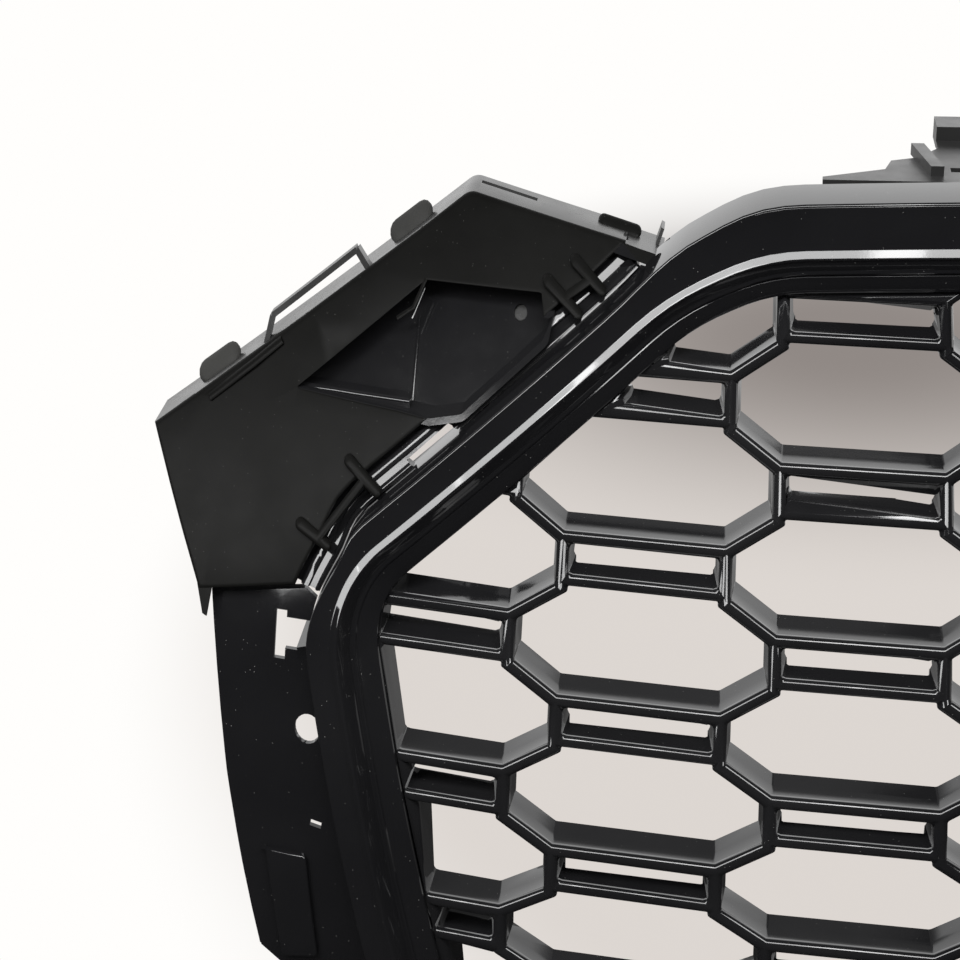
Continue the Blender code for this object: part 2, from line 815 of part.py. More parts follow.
def buffer_pad(start, end):
    """A soft stop clipped over the back edge of a wing's upper wall."""
    corner, peak = Vector(WING_FACE[1]), Vector(WING_FACE[2])
    along = (peak - corner).normalized()
    up = Vector((-along.y, along.x))
    profile = (
        (GAP, 12.0),
        (7.0, 12.0),
        (8.5, 14.0),
        (8.5, 36.5),
        (-7.0, 36.5),
        (-7.0, 24.0),
        (-SKIN - GAP, 24.0),
        (-SKIN - GAP, 34.0),
        (GAP, 34.0),
    )
    bm = bmesh.new()
    loops = []
    for point in (corner + along * start, corner + along * end):
        place = [point + up * s for s, _ in profile]
        loops.append([bm.verts.new((p.x, y, p.y)) for p, (_, y) in zip(place, profile)])
    bm.faces.new(loops[0])
    bm.faces.new(loops[1][::-1])
    for i in range(len(profile)):
        j = (i + 1) % len(profile)
        bm.faces.new((loops[0][i], loops[1][i], loops[1][j], loops[0][j]))
    return draped(bm, WING_BACK, 200.0)


# ---------------------------------------------------------------- rails and fasteners


SHELF = (
    (-243.0, WEB_AT),
    (-243.0, 141.0),
    (-209.0, 157.4),
    (-205.0, 174.0),
    (-190.0, 181.0),
    (-178.0, 200.0),
    (-178.0, RAIL_BACK - 1),
)
SHELF_RIB = ((-185.5, 146.0), (-193.5, 190.0), (-186.5, 190.0), (-178.5, 146.0))
SHELF_SLOT = ((-174.0, 154.0), (-118.0, 154.0), (-118.0, 162.0), (-174.0, 162.0))


def web_pads(seats, front):
    """Thickened seats between a rail's front web and the trim's bosses."""
    return [block(p, o, BOSS_AT - 6, BOSS_AT + 6, clamp(p), front + SKIN) for p, o in seats]


def slab(outline, low, high):
    """A level plate between two heights; the outline is a list of (x, y) seen from above."""
    bm = prism(outline, low, high)
    for vert in bm.verts:
        vert.co = Vector((vert.co.x, vert.co.z, vert.co.y))
    bmesh.ops.recalc_face_normals(bm, faces=bm.faces)
    return bm


def two_sided(half):
    """A closed outline from its left half, drawn from the front to the back."""
    return list(half) + [(-x, y) for x, y in reversed(half)]


def top_rail(seats):
    """Web screwed to the trim, a level shelf behind it and the raised fixing block."""
    shelf = slab(two_sided(SHELF), SHELF_TOP - SKIN, SHELF_TOP)
    web = [(-243, 104), (243, 104), (243, SHELF_TOP - 1), (-243, SHELF_TOP - 1)]
    raised = [(-178, RAIL_FRONT), (178, RAIL_FRONT), (178, RAIL_BACK), (-178, RAIL_BACK)]
    steps = [
        ("UNION", prism(web, WEB_AT, WEB_AT + SKIN)),
        ("UNION", slab(raised, SHELF_TOP - SKIN - 1, RAIL_TOP)),
    ]
    for side in (-1, 1):
        rib = [(side * x, y) for x, y in SHELF_RIB]
        steps.append(("UNION", slab(rib, SHELF_TOP - 1, SHELF_TOP + 5.5)))
        opening = [(side * x, y) for x, y in SHELF_SLOT]
        steps.append(("DIFFERENCE", slab(opening, SHELF_TOP - 10, SHELF_TOP + 10)))
    seat = RAIL_TOP - RIVET_SEAT
    wells = [upright(x, seat, RAIL_TOP + 5, 8.8, 16) for x in spread()]
    drilled = [upright(x, seat - 20, RAIL_TOP + 4, 4.3) for x in spread()]
    steps += joins(web_pads(seats, WEB_AT), seats)
    steps += [("DIFFERENCE", merged(wells)), ("DIFFERENCE", merged(drilled))]
    return combine(shelf, steps)


def spread():
    return sorted([-x for x in RIVETS_AT] + list(RIVETS_AT))


def upright(x, low, high, radius, sides=12):
    """A vertical cylinder through the rail's fixing face."""
    bm = bmesh.new()
    bmesh.ops.create_cone(
        bm,
        cap_ends=True,
        segments=sides,
        radius1=radius,
        radius2=radius,
        depth=high - low,
        matrix=Matrix.Translation((x, ORIGIN.y, (low + high) / 2)),
    )
    return bm


def turned(profile, x, sides=12):
    """A body of revolution about a vertical axis through the rail's fixing face."""
    bm = bmesh.new()
    verts = [bm.verts.new((radius, 0, z)) for radius, z in profile]
    edges = [bm.edges.new(pair) for pair in zip(verts, verts[1:] + verts[:1])]
    bmesh.ops.spin(
        bm,
        geom=verts + edges,
        cent=(0, 0, 0),
        axis=(0, 0, 1),
        angle=math.tau,
        steps=sides,
        use_merge=True,
    )
    bmesh.ops.remove_doubles(bm, verts=bm.verts, dist=1e-4)
    bmesh.ops.recalc_face_normals(bm, faces=bm.faces)
    for vert in bm.verts:
        vert.co += Vector((x, ORIGIN.y, 0))
    return bm


def rivet_body(x):
    """Collar and hollow shank of a push-type rivet."""
    top = RAIL_TOP - RIVET_SEAT + GAP
    collar = [(2.4, top + 2.0), (7.5, top + 2.0), (8.0, top)]
    shank = [(3.8, top), (3.8, top - 13), (2.4, top - 13)]
    return turned(collar + shank, x)


def rivet_pin(x):
    """Centre pin, pushed in. It is drawn up by PIN_STROKE to let the rivet go."""
    top = RAIL_TOP - RIVET_SEAT + GAP + 2.0 + GAP
    head = [(0.0, top + 1.6), (4.6, top + 1.4), (4.8, top)]
    stem = [(1.9, top), (1.9, top - 12.0), (0.0, top - 14.0)]
    return turned(head + stem, x)


def lower_front():
    return crest_depth(Vector((262, -316))) + RING_DEPTH + 1.5


def lower_rail(seats):
    half = [(236, -306), (262, -322), (262, -345), (120, -352)]
    outline = [Vector((-x, z)) for x, z in half] + [Vector((x, z)) for x, z in reversed(half)]
    front = lower_front()
    hollow = [Vector((p.x, p.y if p.y < -320 else -280.0)) for p in grown(outline, -SKIN)]
    cutter = prism(hollow, front + SKIN, front + 30.0)
    steps = [("DIFFERENCE", cutter)] + joins(web_pads(seats, front), seats)
    return combine(prism(outline, front, front + 22.0), steps)


# ---------------------------------------------------------------- assembly


def nearest(stations, x, z):
    return min(stations, key=lambda s: (s[0] - Vector((x, z))).length)


def both(name, bm, look, smooth=35.0):
    """The left piece and its mirror image on the right."""
    other = mirrored(bm)
    piece(name + "_left", bm, look, smooth=smooth)
    piece(name + "_right", other, look, smooth=smooth)


def mirror_seats(seats):
    return [(Vector((-p.x, p.y)), Vector((-o.x, o.y))) for p, o in seats]


def main():
    clear_scene()
    stations = crest_path()
    mesh_left = [nearest(stations, *p) for p in ((-282, 100), (-420, 5), (-465, -170), (-300, -316))]
    wing_seats = [nearest(stations, *p) for p in ((-345, 65), (-465, -30))]
    panel_seats = [nearest(stations, *p) for p in ((-482, -100), (-447, -240))]
    top_seats = [nearest(stations, *p) for p in ((-100, 107),)]
    low_seats = [nearest(stations, *p) for p in ((-200, -316),)]
    groups = {
        "mesh": (mesh_left, None),
        "wing": (wing_seats, None),
        "side_panel": (panel_seats, None),
        "top_rail": (top_seats, WEB_AT + SKIN),
        "lower_rail": (low_seats, lower_front() + SKIN),
    }
    every = [seat for seats, _ in groups.values() for seat in seats]
    piece("surround_trim", surround(every + mirror_seats(every)), GLOSS, smooth=30.0)
    piece("honeycomb_mesh", mesh_insert(stations, mesh_left + mirror_seats(mesh_left)), GLOSS)
    both("wing", wing(stations, wing_seats), SATIN)
    both("side_panel", side_panel(stations, panel_seats), GLOSS)
    for name, legs in HOOKS.items():
        both(f"channel_clip_{name}", hook(legs), SATIN)
    for name, ends in BUFFERS.items():
        both(f"edge_buffer_{name}", buffer_pad(*ends), BUFFER)
    piece("top_rail", top_rail(top_seats + mirror_seats(top_seats)), MATT)
    piece("lower_rail", lower_rail(low_seats + mirror_seats(low_seats)), MATT)
    mesh = screw_mesh()
    for group, (seats, under_head) in groups.items():
        for side, places in (("left", seats), ("right", mirror_seats(seats))):
            for number, (point, outward) in enumerate(places, 1):
                drive_screw(f"{group}_screw_{side}_{number}", mesh, point, outward, under_head)
    for number, x in enumerate(spread(), 1):
        piece(f"push_rivet_{number}", rivet_body(x), MATT)
        piece(f"push_rivet_pin_{number}", rivet_pin(x), MATT)


main()
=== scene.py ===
import json
import math

import bmesh
import bpy
from mathutils import Matrix, Vector

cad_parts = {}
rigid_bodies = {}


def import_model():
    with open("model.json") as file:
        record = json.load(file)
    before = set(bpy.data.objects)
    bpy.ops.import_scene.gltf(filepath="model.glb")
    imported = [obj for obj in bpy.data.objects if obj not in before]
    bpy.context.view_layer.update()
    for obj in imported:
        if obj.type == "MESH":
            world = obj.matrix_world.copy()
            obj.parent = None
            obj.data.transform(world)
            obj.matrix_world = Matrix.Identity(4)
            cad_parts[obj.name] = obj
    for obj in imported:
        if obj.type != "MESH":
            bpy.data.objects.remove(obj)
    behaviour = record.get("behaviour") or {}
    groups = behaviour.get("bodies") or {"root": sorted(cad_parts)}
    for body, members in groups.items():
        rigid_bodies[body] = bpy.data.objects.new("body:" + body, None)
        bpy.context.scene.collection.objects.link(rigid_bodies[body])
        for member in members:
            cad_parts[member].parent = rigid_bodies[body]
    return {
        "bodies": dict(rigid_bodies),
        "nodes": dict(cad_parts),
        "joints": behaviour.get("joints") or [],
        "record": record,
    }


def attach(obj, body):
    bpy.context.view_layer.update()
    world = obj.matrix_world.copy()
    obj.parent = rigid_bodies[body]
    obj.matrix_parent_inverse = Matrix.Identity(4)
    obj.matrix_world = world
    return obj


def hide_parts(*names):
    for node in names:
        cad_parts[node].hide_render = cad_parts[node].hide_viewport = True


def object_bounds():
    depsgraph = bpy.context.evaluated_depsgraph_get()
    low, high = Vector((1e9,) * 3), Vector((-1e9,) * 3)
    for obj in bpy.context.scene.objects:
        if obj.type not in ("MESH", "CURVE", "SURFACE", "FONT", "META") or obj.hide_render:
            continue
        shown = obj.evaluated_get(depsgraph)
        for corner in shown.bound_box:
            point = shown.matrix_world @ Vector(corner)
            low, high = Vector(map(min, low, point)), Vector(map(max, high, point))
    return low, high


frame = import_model()
CAD_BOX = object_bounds()

MM = 0.001

# Overall shape of the front: a curved body surface that every panel follows.
BELLY_Z = -256.0  # height at which the surface stands furthest forward
PROFILE_RADIUS = 293.0  # radius of the side profile
SWEEP = 18.5  # how far the surface falls back at SWEEP_AT from the centre
SWEEP_AT = 330.0
SWEEP_POWER = 2.4

# Honeycomb: eight-sided cells in staggered columns, with a flat slot between stacked cells.
COLUMN_PITCH = 110.0
ROW_PITCH = 70.5
CELL_HALF = 42.0  # half the length of a cell's flat bottom
CELL_DROP = 24.6  # centre of a cell down to its bottom bar
SLOT_STEP = 3.2  # height of a slot's thin bar above the corner beside it
BAR_DEPTH = 23.5
BAR_BACK = 5.4  # half thickness of a main bar at the back, wider by the moulding draft
THIN_BACK = 4.4
THIN_DEPTH = 15.0  # depth of the bar under a slot
COLUMNS = 4
ROWS = 6
ON_LINE = 1e-3
SHEET_SOLVER = "MANIFOLD"  # the exact solver leaves open edges where these thin pieces are joined

# Surround: a closed six-sided trim, drawn along the crest of its front.
CREST_CORNERS = ((-299.0, 99.8, 140.0), (-494.0, -51.5, 55.0), (-430.0, -316.0, 46.0))
CROWN = 9.2
CREST_PROUD = 20.0  # how far the crest stands in front of the body surface
BANDS = ((8.0, 26.8), (42.0, 15.0), (60.0, 11.0), (95.0, 16.2), (180.0, 20.0))  # width by angle
BAND_NOMINAL = 28.0  # band width at which the section has its full depth
BAND_DROP = 9.5
LIP = 20.5  # crest in to the edge of the opening
RING_DEPTH = 46.0
WALL = 3.0
GAP = 0.4  # clearance between touching pieces
SEAM = 0.6  # visible gap between the trim and the pieces beside it
STEP_ALONG = 46.0  # longest straight stretch of the trim between two sections

BOSS_AT = 6.0  # screw bosses sit this far outside the crest
BOSS_RADIUS = 4.5
BOSS_BACK = 4.5  # how far a boss stands out behind the trim's back rim
HOLE_RADIUS = 2.1
TAB_HALF = 8.0
FRAME = 9.0  # width of the mesh insert's frame, hidden behind the trim's lip

WING_BACK = -14.0  # wing face, behind (+) or in front (-) of the body surface
PANEL_BACK = -4.0
SKIN = 3.0  # thickness of the wings and side panels
CHANNEL = 14.0  # width of the sunk channel between a wing's face and the trim
CHANNEL_FLOOR = 9.0  # depth of the channel behind the wing's face
WING_DEPTH = 33.0
EDGE_RADIUS = 2.2  # rounding round the front of a wing
PEAK_RADIUS = 10.0  # rounding of a wing's top corner

STRIP = 20.0  # width of the flat strips that follow the body surface
WHOLE = 200.0  # strip width that leaves a small piece uncut

RAIL_FRONT = 215.0
RAIL_BACK = 237.0
RAIL_TOP = 139.0

WING_FACE = ((-566, -62.5), (-600, 6), (-434, 117))
PEAK_TOWARD = (-326, 96)  # where the wing's upper edge runs to from its top corner
WING_SPAN = (-62, 80)
WING_POCKET = (  # corners of the pocket as x, z and radius
    *((-521, 29, 0.5), (-490, 27, 3), (-463, 25, 3), (-446, 23, 3), (-429, 26, 4)),
    *((-388, 59, 5), (-381, 74, 4), (-391, 78, 4), (-454, 79, 4)),
)
WALL_PLUG = ((-360, 20.0, 104.4), (-342, 20.0, 100.9))
WALL_END = ((-356, 101.9), (-326.5, 96.1), (-328.5, 91.0), (-357.0, 97.2))
CORNER_LIP = ((-567, -60), (-563, -73), (-560.5, -74), (-558.5, -60))
WALL_SLOT = ((-428, 121), (-397, 112), (-399, 106), (-430, 114))
RIBS = (  # points (x, depth, z) and radius of each raised rib
    (((-519, 7.0, 29.3), (-490, 7.0, 28.3), (-458, 7.0, 27.6)), 0.9),
    (((-468, 0.4, 62.5), (-459.5, 0.4, 67.5), (-454, 0.4, 79.5)), 1.0),
    (((-460.5, 5.5, 62.0), (-455.0, 5.5, 75.0)), 1.0),
    (((-457.5, 19.2, 60.0), (-457.5, 19.2, 24.5)), 1.0),
    (((-569, 0.2, 20.5), (-545, -0.9, 38.0), (-531, -0.4, 48.5)), 2.0),
)
POCKET_SHELF = ((-522, 27), (-520, 29.5), (-457.5, 27.6), (-457.5, 21), (-480, 22))
WINDOW = ((-457, 3), (-436, 20), (-430, 18), (-451, 0))
STRAP = ((-541, 43), (-539, 56.5), (-495, 87.5), (-486, 79))
HOOKS = {
    "upper": (((-387, 84), (-370, 71.5)), ((-373, 93), (-358, 81.5)), ((-378, 77.4), (-364, 86))),
    "lower": (((-511, -26), (-496, -34)), ((-487, 3), (-471, -8.8)), ((-501, -31.4), (-478, -3.8))),
}
BUFFERS = {"outer": (28.0, 52.0), "inner": (150.0, 174.0)}  # along the wing's upper edge
PANEL_OUTER = ((-560, -64.5), (-547, -149), (-538, -195), (-529, -240), (-500, -262), (-470, -300))
PANEL_CORNER = (-508, -57.2)
PAD = ((-531, -184, 3), (-516, -244, 3), (-496, -240, 3), (-502, -184, 3))
TEE = (
    *((-523, -69), (-523, -91), (-517, -91), (-517, -86)),
    *((-490, -86), (-490, -72), (-517, -72), (-517, -69)),
)

ORIGIN = Vector((0.0, (RAIL_FRONT + RAIL_BACK) / 2, RAIL_TOP))


def body(x, z):
    """Depth of the body surface at a point of the front view."""
    profile = ((z - BELLY_Z) ** 2 - BELLY_Z**2) / (2 * PROFILE_RADIUS)
    return profile + SWEEP * abs(x / SWEEP_AT) ** SWEEP_POWER


def steepness(x, z):
    """Length of depth gained per millimetre measured square to the surface."""
    along_z = (body(x, z + 1) - body(x, z - 1)) / 2
    along_x = (body(x + 1, z) - body(x - 1, z)) / 2
    return math.sqrt(1 + along_z**2 + along_x**2)


def scratch(bm, name="scratch"):
    """A helper object in millimetres that never becomes a piece."""
    mesh = bpy.data.meshes.new(name)
    bmesh.ops.recalc_face_normals(bm, faces=bm.faces)
    bm.to_mesh(mesh)
    bm.free()
    obj = bpy.data.objects.new(name, mesh)
    bpy.context.scene.collection.objects.link(obj)
    obj.hide_render = True
    obj.display_type = "WIRE"
    return obj


def combine(base, steps, solver="EXACT"):
    """Applies Booleans in order and returns the result as a bmesh; the helpers are removed."""
    start = scratch(base)
    helpers = [start]
    for operation, bm in steps:
        helper = scratch(bm)
        modifier = start.modifiers.new(operation.lower(), "BOOLEAN")
        modifier.operation = operation
        modifier.object = helper
        modifier.solver = solver
        helpers.append(helper)
    graph = bpy.context.evaluated_depsgraph_get()
    result = bpy.data.meshes.new_from_object(start.evaluated_get(graph))
    joined = bmesh.new()
    joined.from_mesh(result)
    bpy.data.meshes.remove(result)
    for helper in helpers:
        bpy.data.objects.remove(helper)
    return joined


def mirrored(bm):
    """A copy reflected in the car's centre plane."""
    other = bm.copy()
    for vert in other.verts:
        vert.co.x = -vert.co.x
    bmesh.ops.reverse_faces(other, faces=other.faces)
    return other


def corner_arc(here, before, after, radius, steps):
    """Points of the arc that rounds a corner; before and after point along its two sides."""
    half = before.angle(after) / 2
    centre = here + (before + after).normalized() * radius / math.sin(half)
    start = here + before * radius / math.tan(half) - centre
    turn = math.pi - 2 * half
    if start.x * after.y - start.y * after.x < 0:
        turn = -turn
    return [centre + Matrix.Rotation(turn * k / steps, 2) @ start for k in range(steps + 1)]


def rounded(corners, segment_angle=14.0):
    """A closed outline from (x, z, radius) corners, each turned into an arc."""
    points = []
    for i, (x, z, radius) in enumerate(corners):
        here = Vector((x, z))
        if radius == 0:
            points.append(here)
            continue
        before = (Vector(corners[i - 1][:2]) - here).normalized()
        after = (Vector(corners[(i + 1) % len(corners)][:2]) - here).normalized()
        turn = math.degrees(math.pi - before.angle(after))
        points += corner_arc(here, before, after, radius, max(2, math.ceil(turn / segment_angle)))
    return points


def divided(points, longest):
    """The closed outline with long stretches split evenly."""
    result = []
    for i, point in enumerate(points):
        following = points[(i + 1) % len(points)]
        count = max(1, math.ceil((following - point).length / longest - 0.01))
        result += [point.lerp(following, step / count) for step in range(count)]
    return result


def crest_path(segment_angle=14.0, longest=STEP_ALONG):
    """Stations (point, outward direction) along the trim's crest, clockwise from top left."""
    left = list(CREST_CORNERS)
    right = [(-x, z, r) for x, z, r in reversed(left)]
    points = divided(rounded(right + left, segment_angle), longest)
    for point in points:
        if point.y > 0 and abs(point.x) < -CREST_CORNERS[0][0]:
            point.y += CROWN * (1 - (point.x / CREST_CORNERS[0][0]) ** 2)
    stations = []
    for i, point in enumerate(points):
        along = points[(i + 1) % len(points)] - points[i - 1]
        outward = Vector((-along.y, along.x)).normalized()
        if outward.dot(point - Vector((0, -110))) < 0:
            outward = -outward
        stations.append((point, outward))
    return stations


def crest_depth(point):
    return body(*point) - CREST_PROUD * steepness(*point)


def band_width(outward):
    """Width of the trim's outer band, wide along the top and narrow on the slanted sides."""
    angle = math.degrees(math.acos(max(-1.0, min(1.0, outward.y))))
    before = BANDS[0]
    for here in BANDS:
        if angle <= here[0]:
            share = (angle - before[0]) / (here[0] - before[0]) if here != before else 0.0
            share = share * share * (3 - 2 * share)
            return before[1] + (here[1] - before[1]) * share
        before = here
    return before[1]


def prism(outline, front, back):
    """A straight plate between two depths; the outline is a list of (x, z)."""
    bm = bmesh.new()
    near = [bm.verts.new((x, front, z)) for x, z in outline]
    far = [bm.verts.new((x, back, z)) for x, z in outline]
    bm.faces.new(near)
    bm.faces.new(reversed(far))
    for i in range(len(outline)):
        j = (i + 1) % len(outline)
        bm.faces.new((near[i], far[i], far[j], near[j]))
    return bm


def merged(parts):
    """Several separate closed shapes held in one bmesh."""
    result = bmesh.new()
    for part in parts:
        mesh = bpy.data.meshes.new("part")
        part.to_mesh(mesh)
        part.free()
        result.from_mesh(mesh)
        bpy.data.meshes.remove(mesh)
    return result


def grown(outline, distance):
    """The outline pushed outward (or inward if negative), with mitred corners."""
    points = [Vector(p) for p in outline]
    area = sum(a.x * b.y - a.y * b.x for a, b in zip(points, points[1:] + points[:1]))
    sign = 1 if area > 0 else -1
    result = []
    for i, point in enumerate(points):
        before = (point - points[i - 1]).normalized()
        after = (points[(i + 1) % len(points)] - point).normalized()
        first = Vector((before.y, -before.x)) * sign
        second = Vector((after.y, -after.x)) * sign
        result.append(point + (first + second) * distance / max(0.5, 1 + first.dot(second)))
    return result


def draped(bm, offset, spacing=45.0):
    """Cuts the flat shape into strips and bends it onto the body surface."""
    bmesh.ops.recalc_face_normals(bm, faces=bm.faces)
    for axis in (0, 2):
        values = [v.co[axis] for v in bm.verts]
        normal = Vector((1, 0, 0)) if axis == 0 else Vector((0, 0, 1))
        first = math.floor(min(values) / spacing) + 1
        for step in range(first, math.ceil(max(values) / spacing)):
            bmesh.ops.bisect_plane(
                bm,
                geom=bm.verts[:] + bm.edges[:] + bm.faces[:],
                dist=1e-4,
                plane_co=normal * (step * spacing + 0.37),
                plane_no=normal,
            )
    bmesh.ops.triangulate(bm, faces=bm.faces)
    for vert in bm.verts:
        vert.co.y += offset + body(vert.co.x, vert.co.z)
    return bm


def cell_outline(x, z):
    """Corners of one cell, each with the kind of bar that starts there."""
    side = COLUMN_PITCH - CELL_HALF
    rise = ROW_PITCH / 2 - CELL_DROP
    lower = [(CELL_HALF, -CELL_DROP), (side, -rise), (side, SLOT_STEP - rise)]
    lower += [(side, rise), (CELL_HALF, CELL_DROP)]
    top = CELL_DROP + SLOT_STEP
    corners = [(*spot, "main") for spot in lower] + [(CELL_HALF, top, "thin"), (-CELL_HALF, top, "main")]
    corners += [(-dx, dz, "main") for dx, dz in lower[::-1]]
    return [(Vector((x + dx, z + dz)), kind) for dx, dz, kind in corners]


def slot_outline(x, z):
    """The flat slot under the cell whose centre is given."""
    bottom, top = CELL_DROP + SLOT_STEP - ROW_PITCH, -CELL_DROP
    corners = ((-CELL_HALF, bottom, "thin"), (CELL_HALF, bottom, "main"), (CELL_HALF, top, "main"))
    corners += ((-CELL_HALF, top, "main"),)
    return [(Vector((x + dx, z + dz)), kind) for dx, dz, kind in corners]


def clipped(cell, window):
    """The part of a cell inside a convex window that runs counter-clockwise."""
    for i, start in enumerate(window):
        end = window[(i + 1) % len(window)]
        inward = Vector((start.y - end.y, end.x - start.x)).normalized()
        kept = []
        for j, (point, kind) in enumerate(cell):
            following = cell[(j + 1) % len(cell)][0]
            here = (point - start).dot(inward)
            there = (following - start).dot(inward)
            if here > -ON_LINE:
                leaving = here < ON_LINE and there < -ON_LINE
                kept.append((point, "border" if leaving else kind))
            if max(here, there) >= ON_LINE and min(here, there) <= -ON_LINE:
                crossing = point.lerp(following, here / (here - there))
                kept.append((crossing, "border" if here > 0 else kind))
        cell = kept
    return cell if len(cell) > 2 else []


def with_corners(cell, window):
    """The cell with the window's own corners added where they lie along its border."""
    result = []
    for j, (point, kind) in enumerate(cell):
        result.append((point, kind))
        if kind != "border":
            continue
        side = cell[(j + 1) % len(cell)][0] - point
        along = side.normalized()
        between = []
        for corner in window:
            offset = corner - point
            run = offset.dot(along)
            if 0.01 < run < side.length - 0.01 and (offset - along * run).length < 0.01:
                between.append((run, corner))
        result += [(corner, kind) for _, corner in sorted(between, key=lambda item: item[0])]
    return result


def inset(cell, distances):
    """Positions of the cell's corners after each side moves in by its own distance."""
    count = len(cell)
    lines = []
    for i, (point, kind) in enumerate(cell):
        along = cell[(i + 1) % count][0] - point
        along = along.normalized() if along.length > 1e-6 else Vector((1, 0))
        lines.append((point + Vector((-along.y, along.x)) * distances[kind], along))
    active = list(range(count))
    while len(active) > 2:
        corners = {}
        for k, line in enumerate(active):
            (a, da), (b, db) = lines[active[k - 1]], lines[line]
            cross = da.x * db.y - da.y * db.x
            if abs(cross) < 1e-6:
                corners[line] = b
            else:
                step = ((b - a).x * db.y - (b - a).y * db.x) / cross
                corners[line] = a + da * step
        lengths = [
            ((corners[active[(k + 1) % len(active)]] - corners[line]).dot(lines[line][1]), line)
            for k, line in enumerate(active)
        ]
        shortest, worst = min(lengths)
        if shortest > 0:
            break
        active.remove(worst)
    if len(active) < 3:
        return None
    return [corners[min((i for i in active if i >= k), default=active[0])] for k in range(count)]


def cell_centres():
    """Centre of every cell that may reach into the opening."""
    for column in range(-COLUMNS - 1, COLUMNS + 2):
        shift = 0 if column % 2 else ROW_PITCH / 2
        for row in range(-2, ROWS):
            yield column * COLUMN_PITCH, shift - ROW_PITCH * row


def honeycomb_cells(window):
    cells = []
    for centre in cell_centres():
        cells.append(clipped(cell_outline(*centre), window))
        cells.append(clipped(slot_outline(*centre), window))
    return [with_corners(cell, window) for cell in cells if cell]


def corners_only(stations, straight=0.25):
    """The stations that shape the opening, leaving out those along its straight sides."""
    kept = list(stations)
    i = 0
    while i < len(kept):
        here, before, after = (kept[k % len(kept)] for k in (i, i - 1, i + 1))
        spots = [point - outward * LIP for point, outward in (before, here, after)]
        along = (spots[2] - spots[0]).normalized()
        offset = spots[1] - spots[0]
        if abs(offset.x * along.y - offset.y * along.x) < straight:
            kept.pop(i)
        else:
            i += 1
    return kept


def swept(sections):
    """A closed ring from equal sections."""
    bm = bmesh.new()
    loops = [[bm.verts.new(p) for p in section] for section in sections]
    for i, loop in enumerate(loops):
        following = loops[(i + 1) % len(loops)]
        for j in range(len(loop)):
            k = (j + 1) % len(loop)
            bm.faces.new((loop[j], loop[k], following[k], following[j]))
    bmesh.ops.recalc_face_normals(bm, faces=bm.faces)
    return bm


def cylinder(point, front, back, radius, sides=10):
    """A round bar along Y at a point of the front view."""
    turns = [math.tau * k / sides for k in range(sides)]
    ring = [(point[0] + radius * math.cos(a), point[1] + radius * math.sin(a)) for a in turns]
    return prism(ring, front, back)


def block(point, outward, start, end, front, back, half=TAB_HALF):
    """A block square to the trim, from start to end outside the crest."""
    along = Vector((-outward.y, outward.x))
    corners = [
        point + outward * start - along * half,
        point + outward * end - along * half,
        point + outward * end + along * half,
        point + outward * start + along * half,
    ]
    return prism(corners, front, back)


def clamp(point):
    """Depth at which a tab lies on the trim's screw boss."""
    return crest_depth(point) + RING_DEPTH + BOSS_BACK + GAP


def tab(point, outward, start, end):
    """A screw tab lying on the trim's boss."""
    return block(point, outward, start, end, clamp(point), clamp(point) + SKIN)


def tab_hole(point, outward):
    return cylinder(point + outward * BOSS_AT, clamp(point) - 2, clamp(point) + 30, HOLE_RADIUS, 8)


def joins(tabs, seats):
    """Boolean steps that add tabs one by one and then drill them."""
    holes = merged(tab_hole(*seat) for seat in seats)
    return [("UNION", part) for part in tabs] + [("DIFFERENCE", holes)]


def thin_backs(stations):
    """What is cut from behind the slots' lower bars, which are shallower than the rest."""
    window = [tuple(point - outward * (LIP + 1.0)) for point, outward in corners_only(stations)]
    half, tall = CELL_HALF - BAR_BACK - 1.0, THIN_BACK + 1.0
    backs = []
    for x, z in cell_centres():
        z += CELL_DROP + SLOT_STEP - ROW_PITCH
        corners = [(x - half, z - tall), (x + half, z - tall), (x + half, z + tall), (x - half, z + tall)]
        if all(inside(window, *corner) for corner in corners):
            backs.append(prism(corners, THIN_DEPTH, 2 * BAR_DEPTH))
    return draped(merged(backs), 0.0, WHOLE)


def mesh_insert(stations, seats):
    """The honeycomb with its eight screw tabs."""
    tabs = []
    for point, outward in seats:
        deep = body(*(point + outward * (FRAME / 2 - LIP))) + 8
        tabs.append(tab(point, outward, -14.0, BOSS_AT + 6))
        tabs.append(block(point, outward, -18.0, -12.5, deep, clamp(point) + SKIN))
    steps = [*joins(tabs, seats), ("DIFFERENCE", thin_backs(stations))]
    return combine(mesh_lattice(stations), steps, SHEET_SOLVER)


def beside_trim(stations, low, high, distance):
    """Points at a distance outside the trim's outer edge, on the left, from low z to high z."""
    return [
        point + outward * (band_width(outward) + distance)
        for point, outward in stations
        if point.x < 0 and low < point.y < high and outward.y > -0.5
    ][::-1]


def slot(start, end, half, front, back):
    """A straight bar or slot between two points of the front view."""
    start, end = Vector(start), Vector(end)
    along = (end - start).normalized()
    across = Vector((-along.y, along.x)) * half
    return prism([start - across, end - across, end + across, start + across], front, back)


def skinned(sections):
    """A solid through equal sections, closed at both ends."""
    bm = bmesh.new()
    loops = [[bm.verts.new(p) for p in section] for section in sections]
    bm.faces.new(loops[0])
    bm.faces.new(loops[-1][::-1])
    for first, second in zip(loops, loops[1:]):
        for i in range(len(first)):
            j = (i + 1) % len(first)
            bm.faces.new((first[i], second[i], second[j], first[j]))
    bmesh.ops.recalc_face_normals(bm, faces=bm.faces)
    return bm


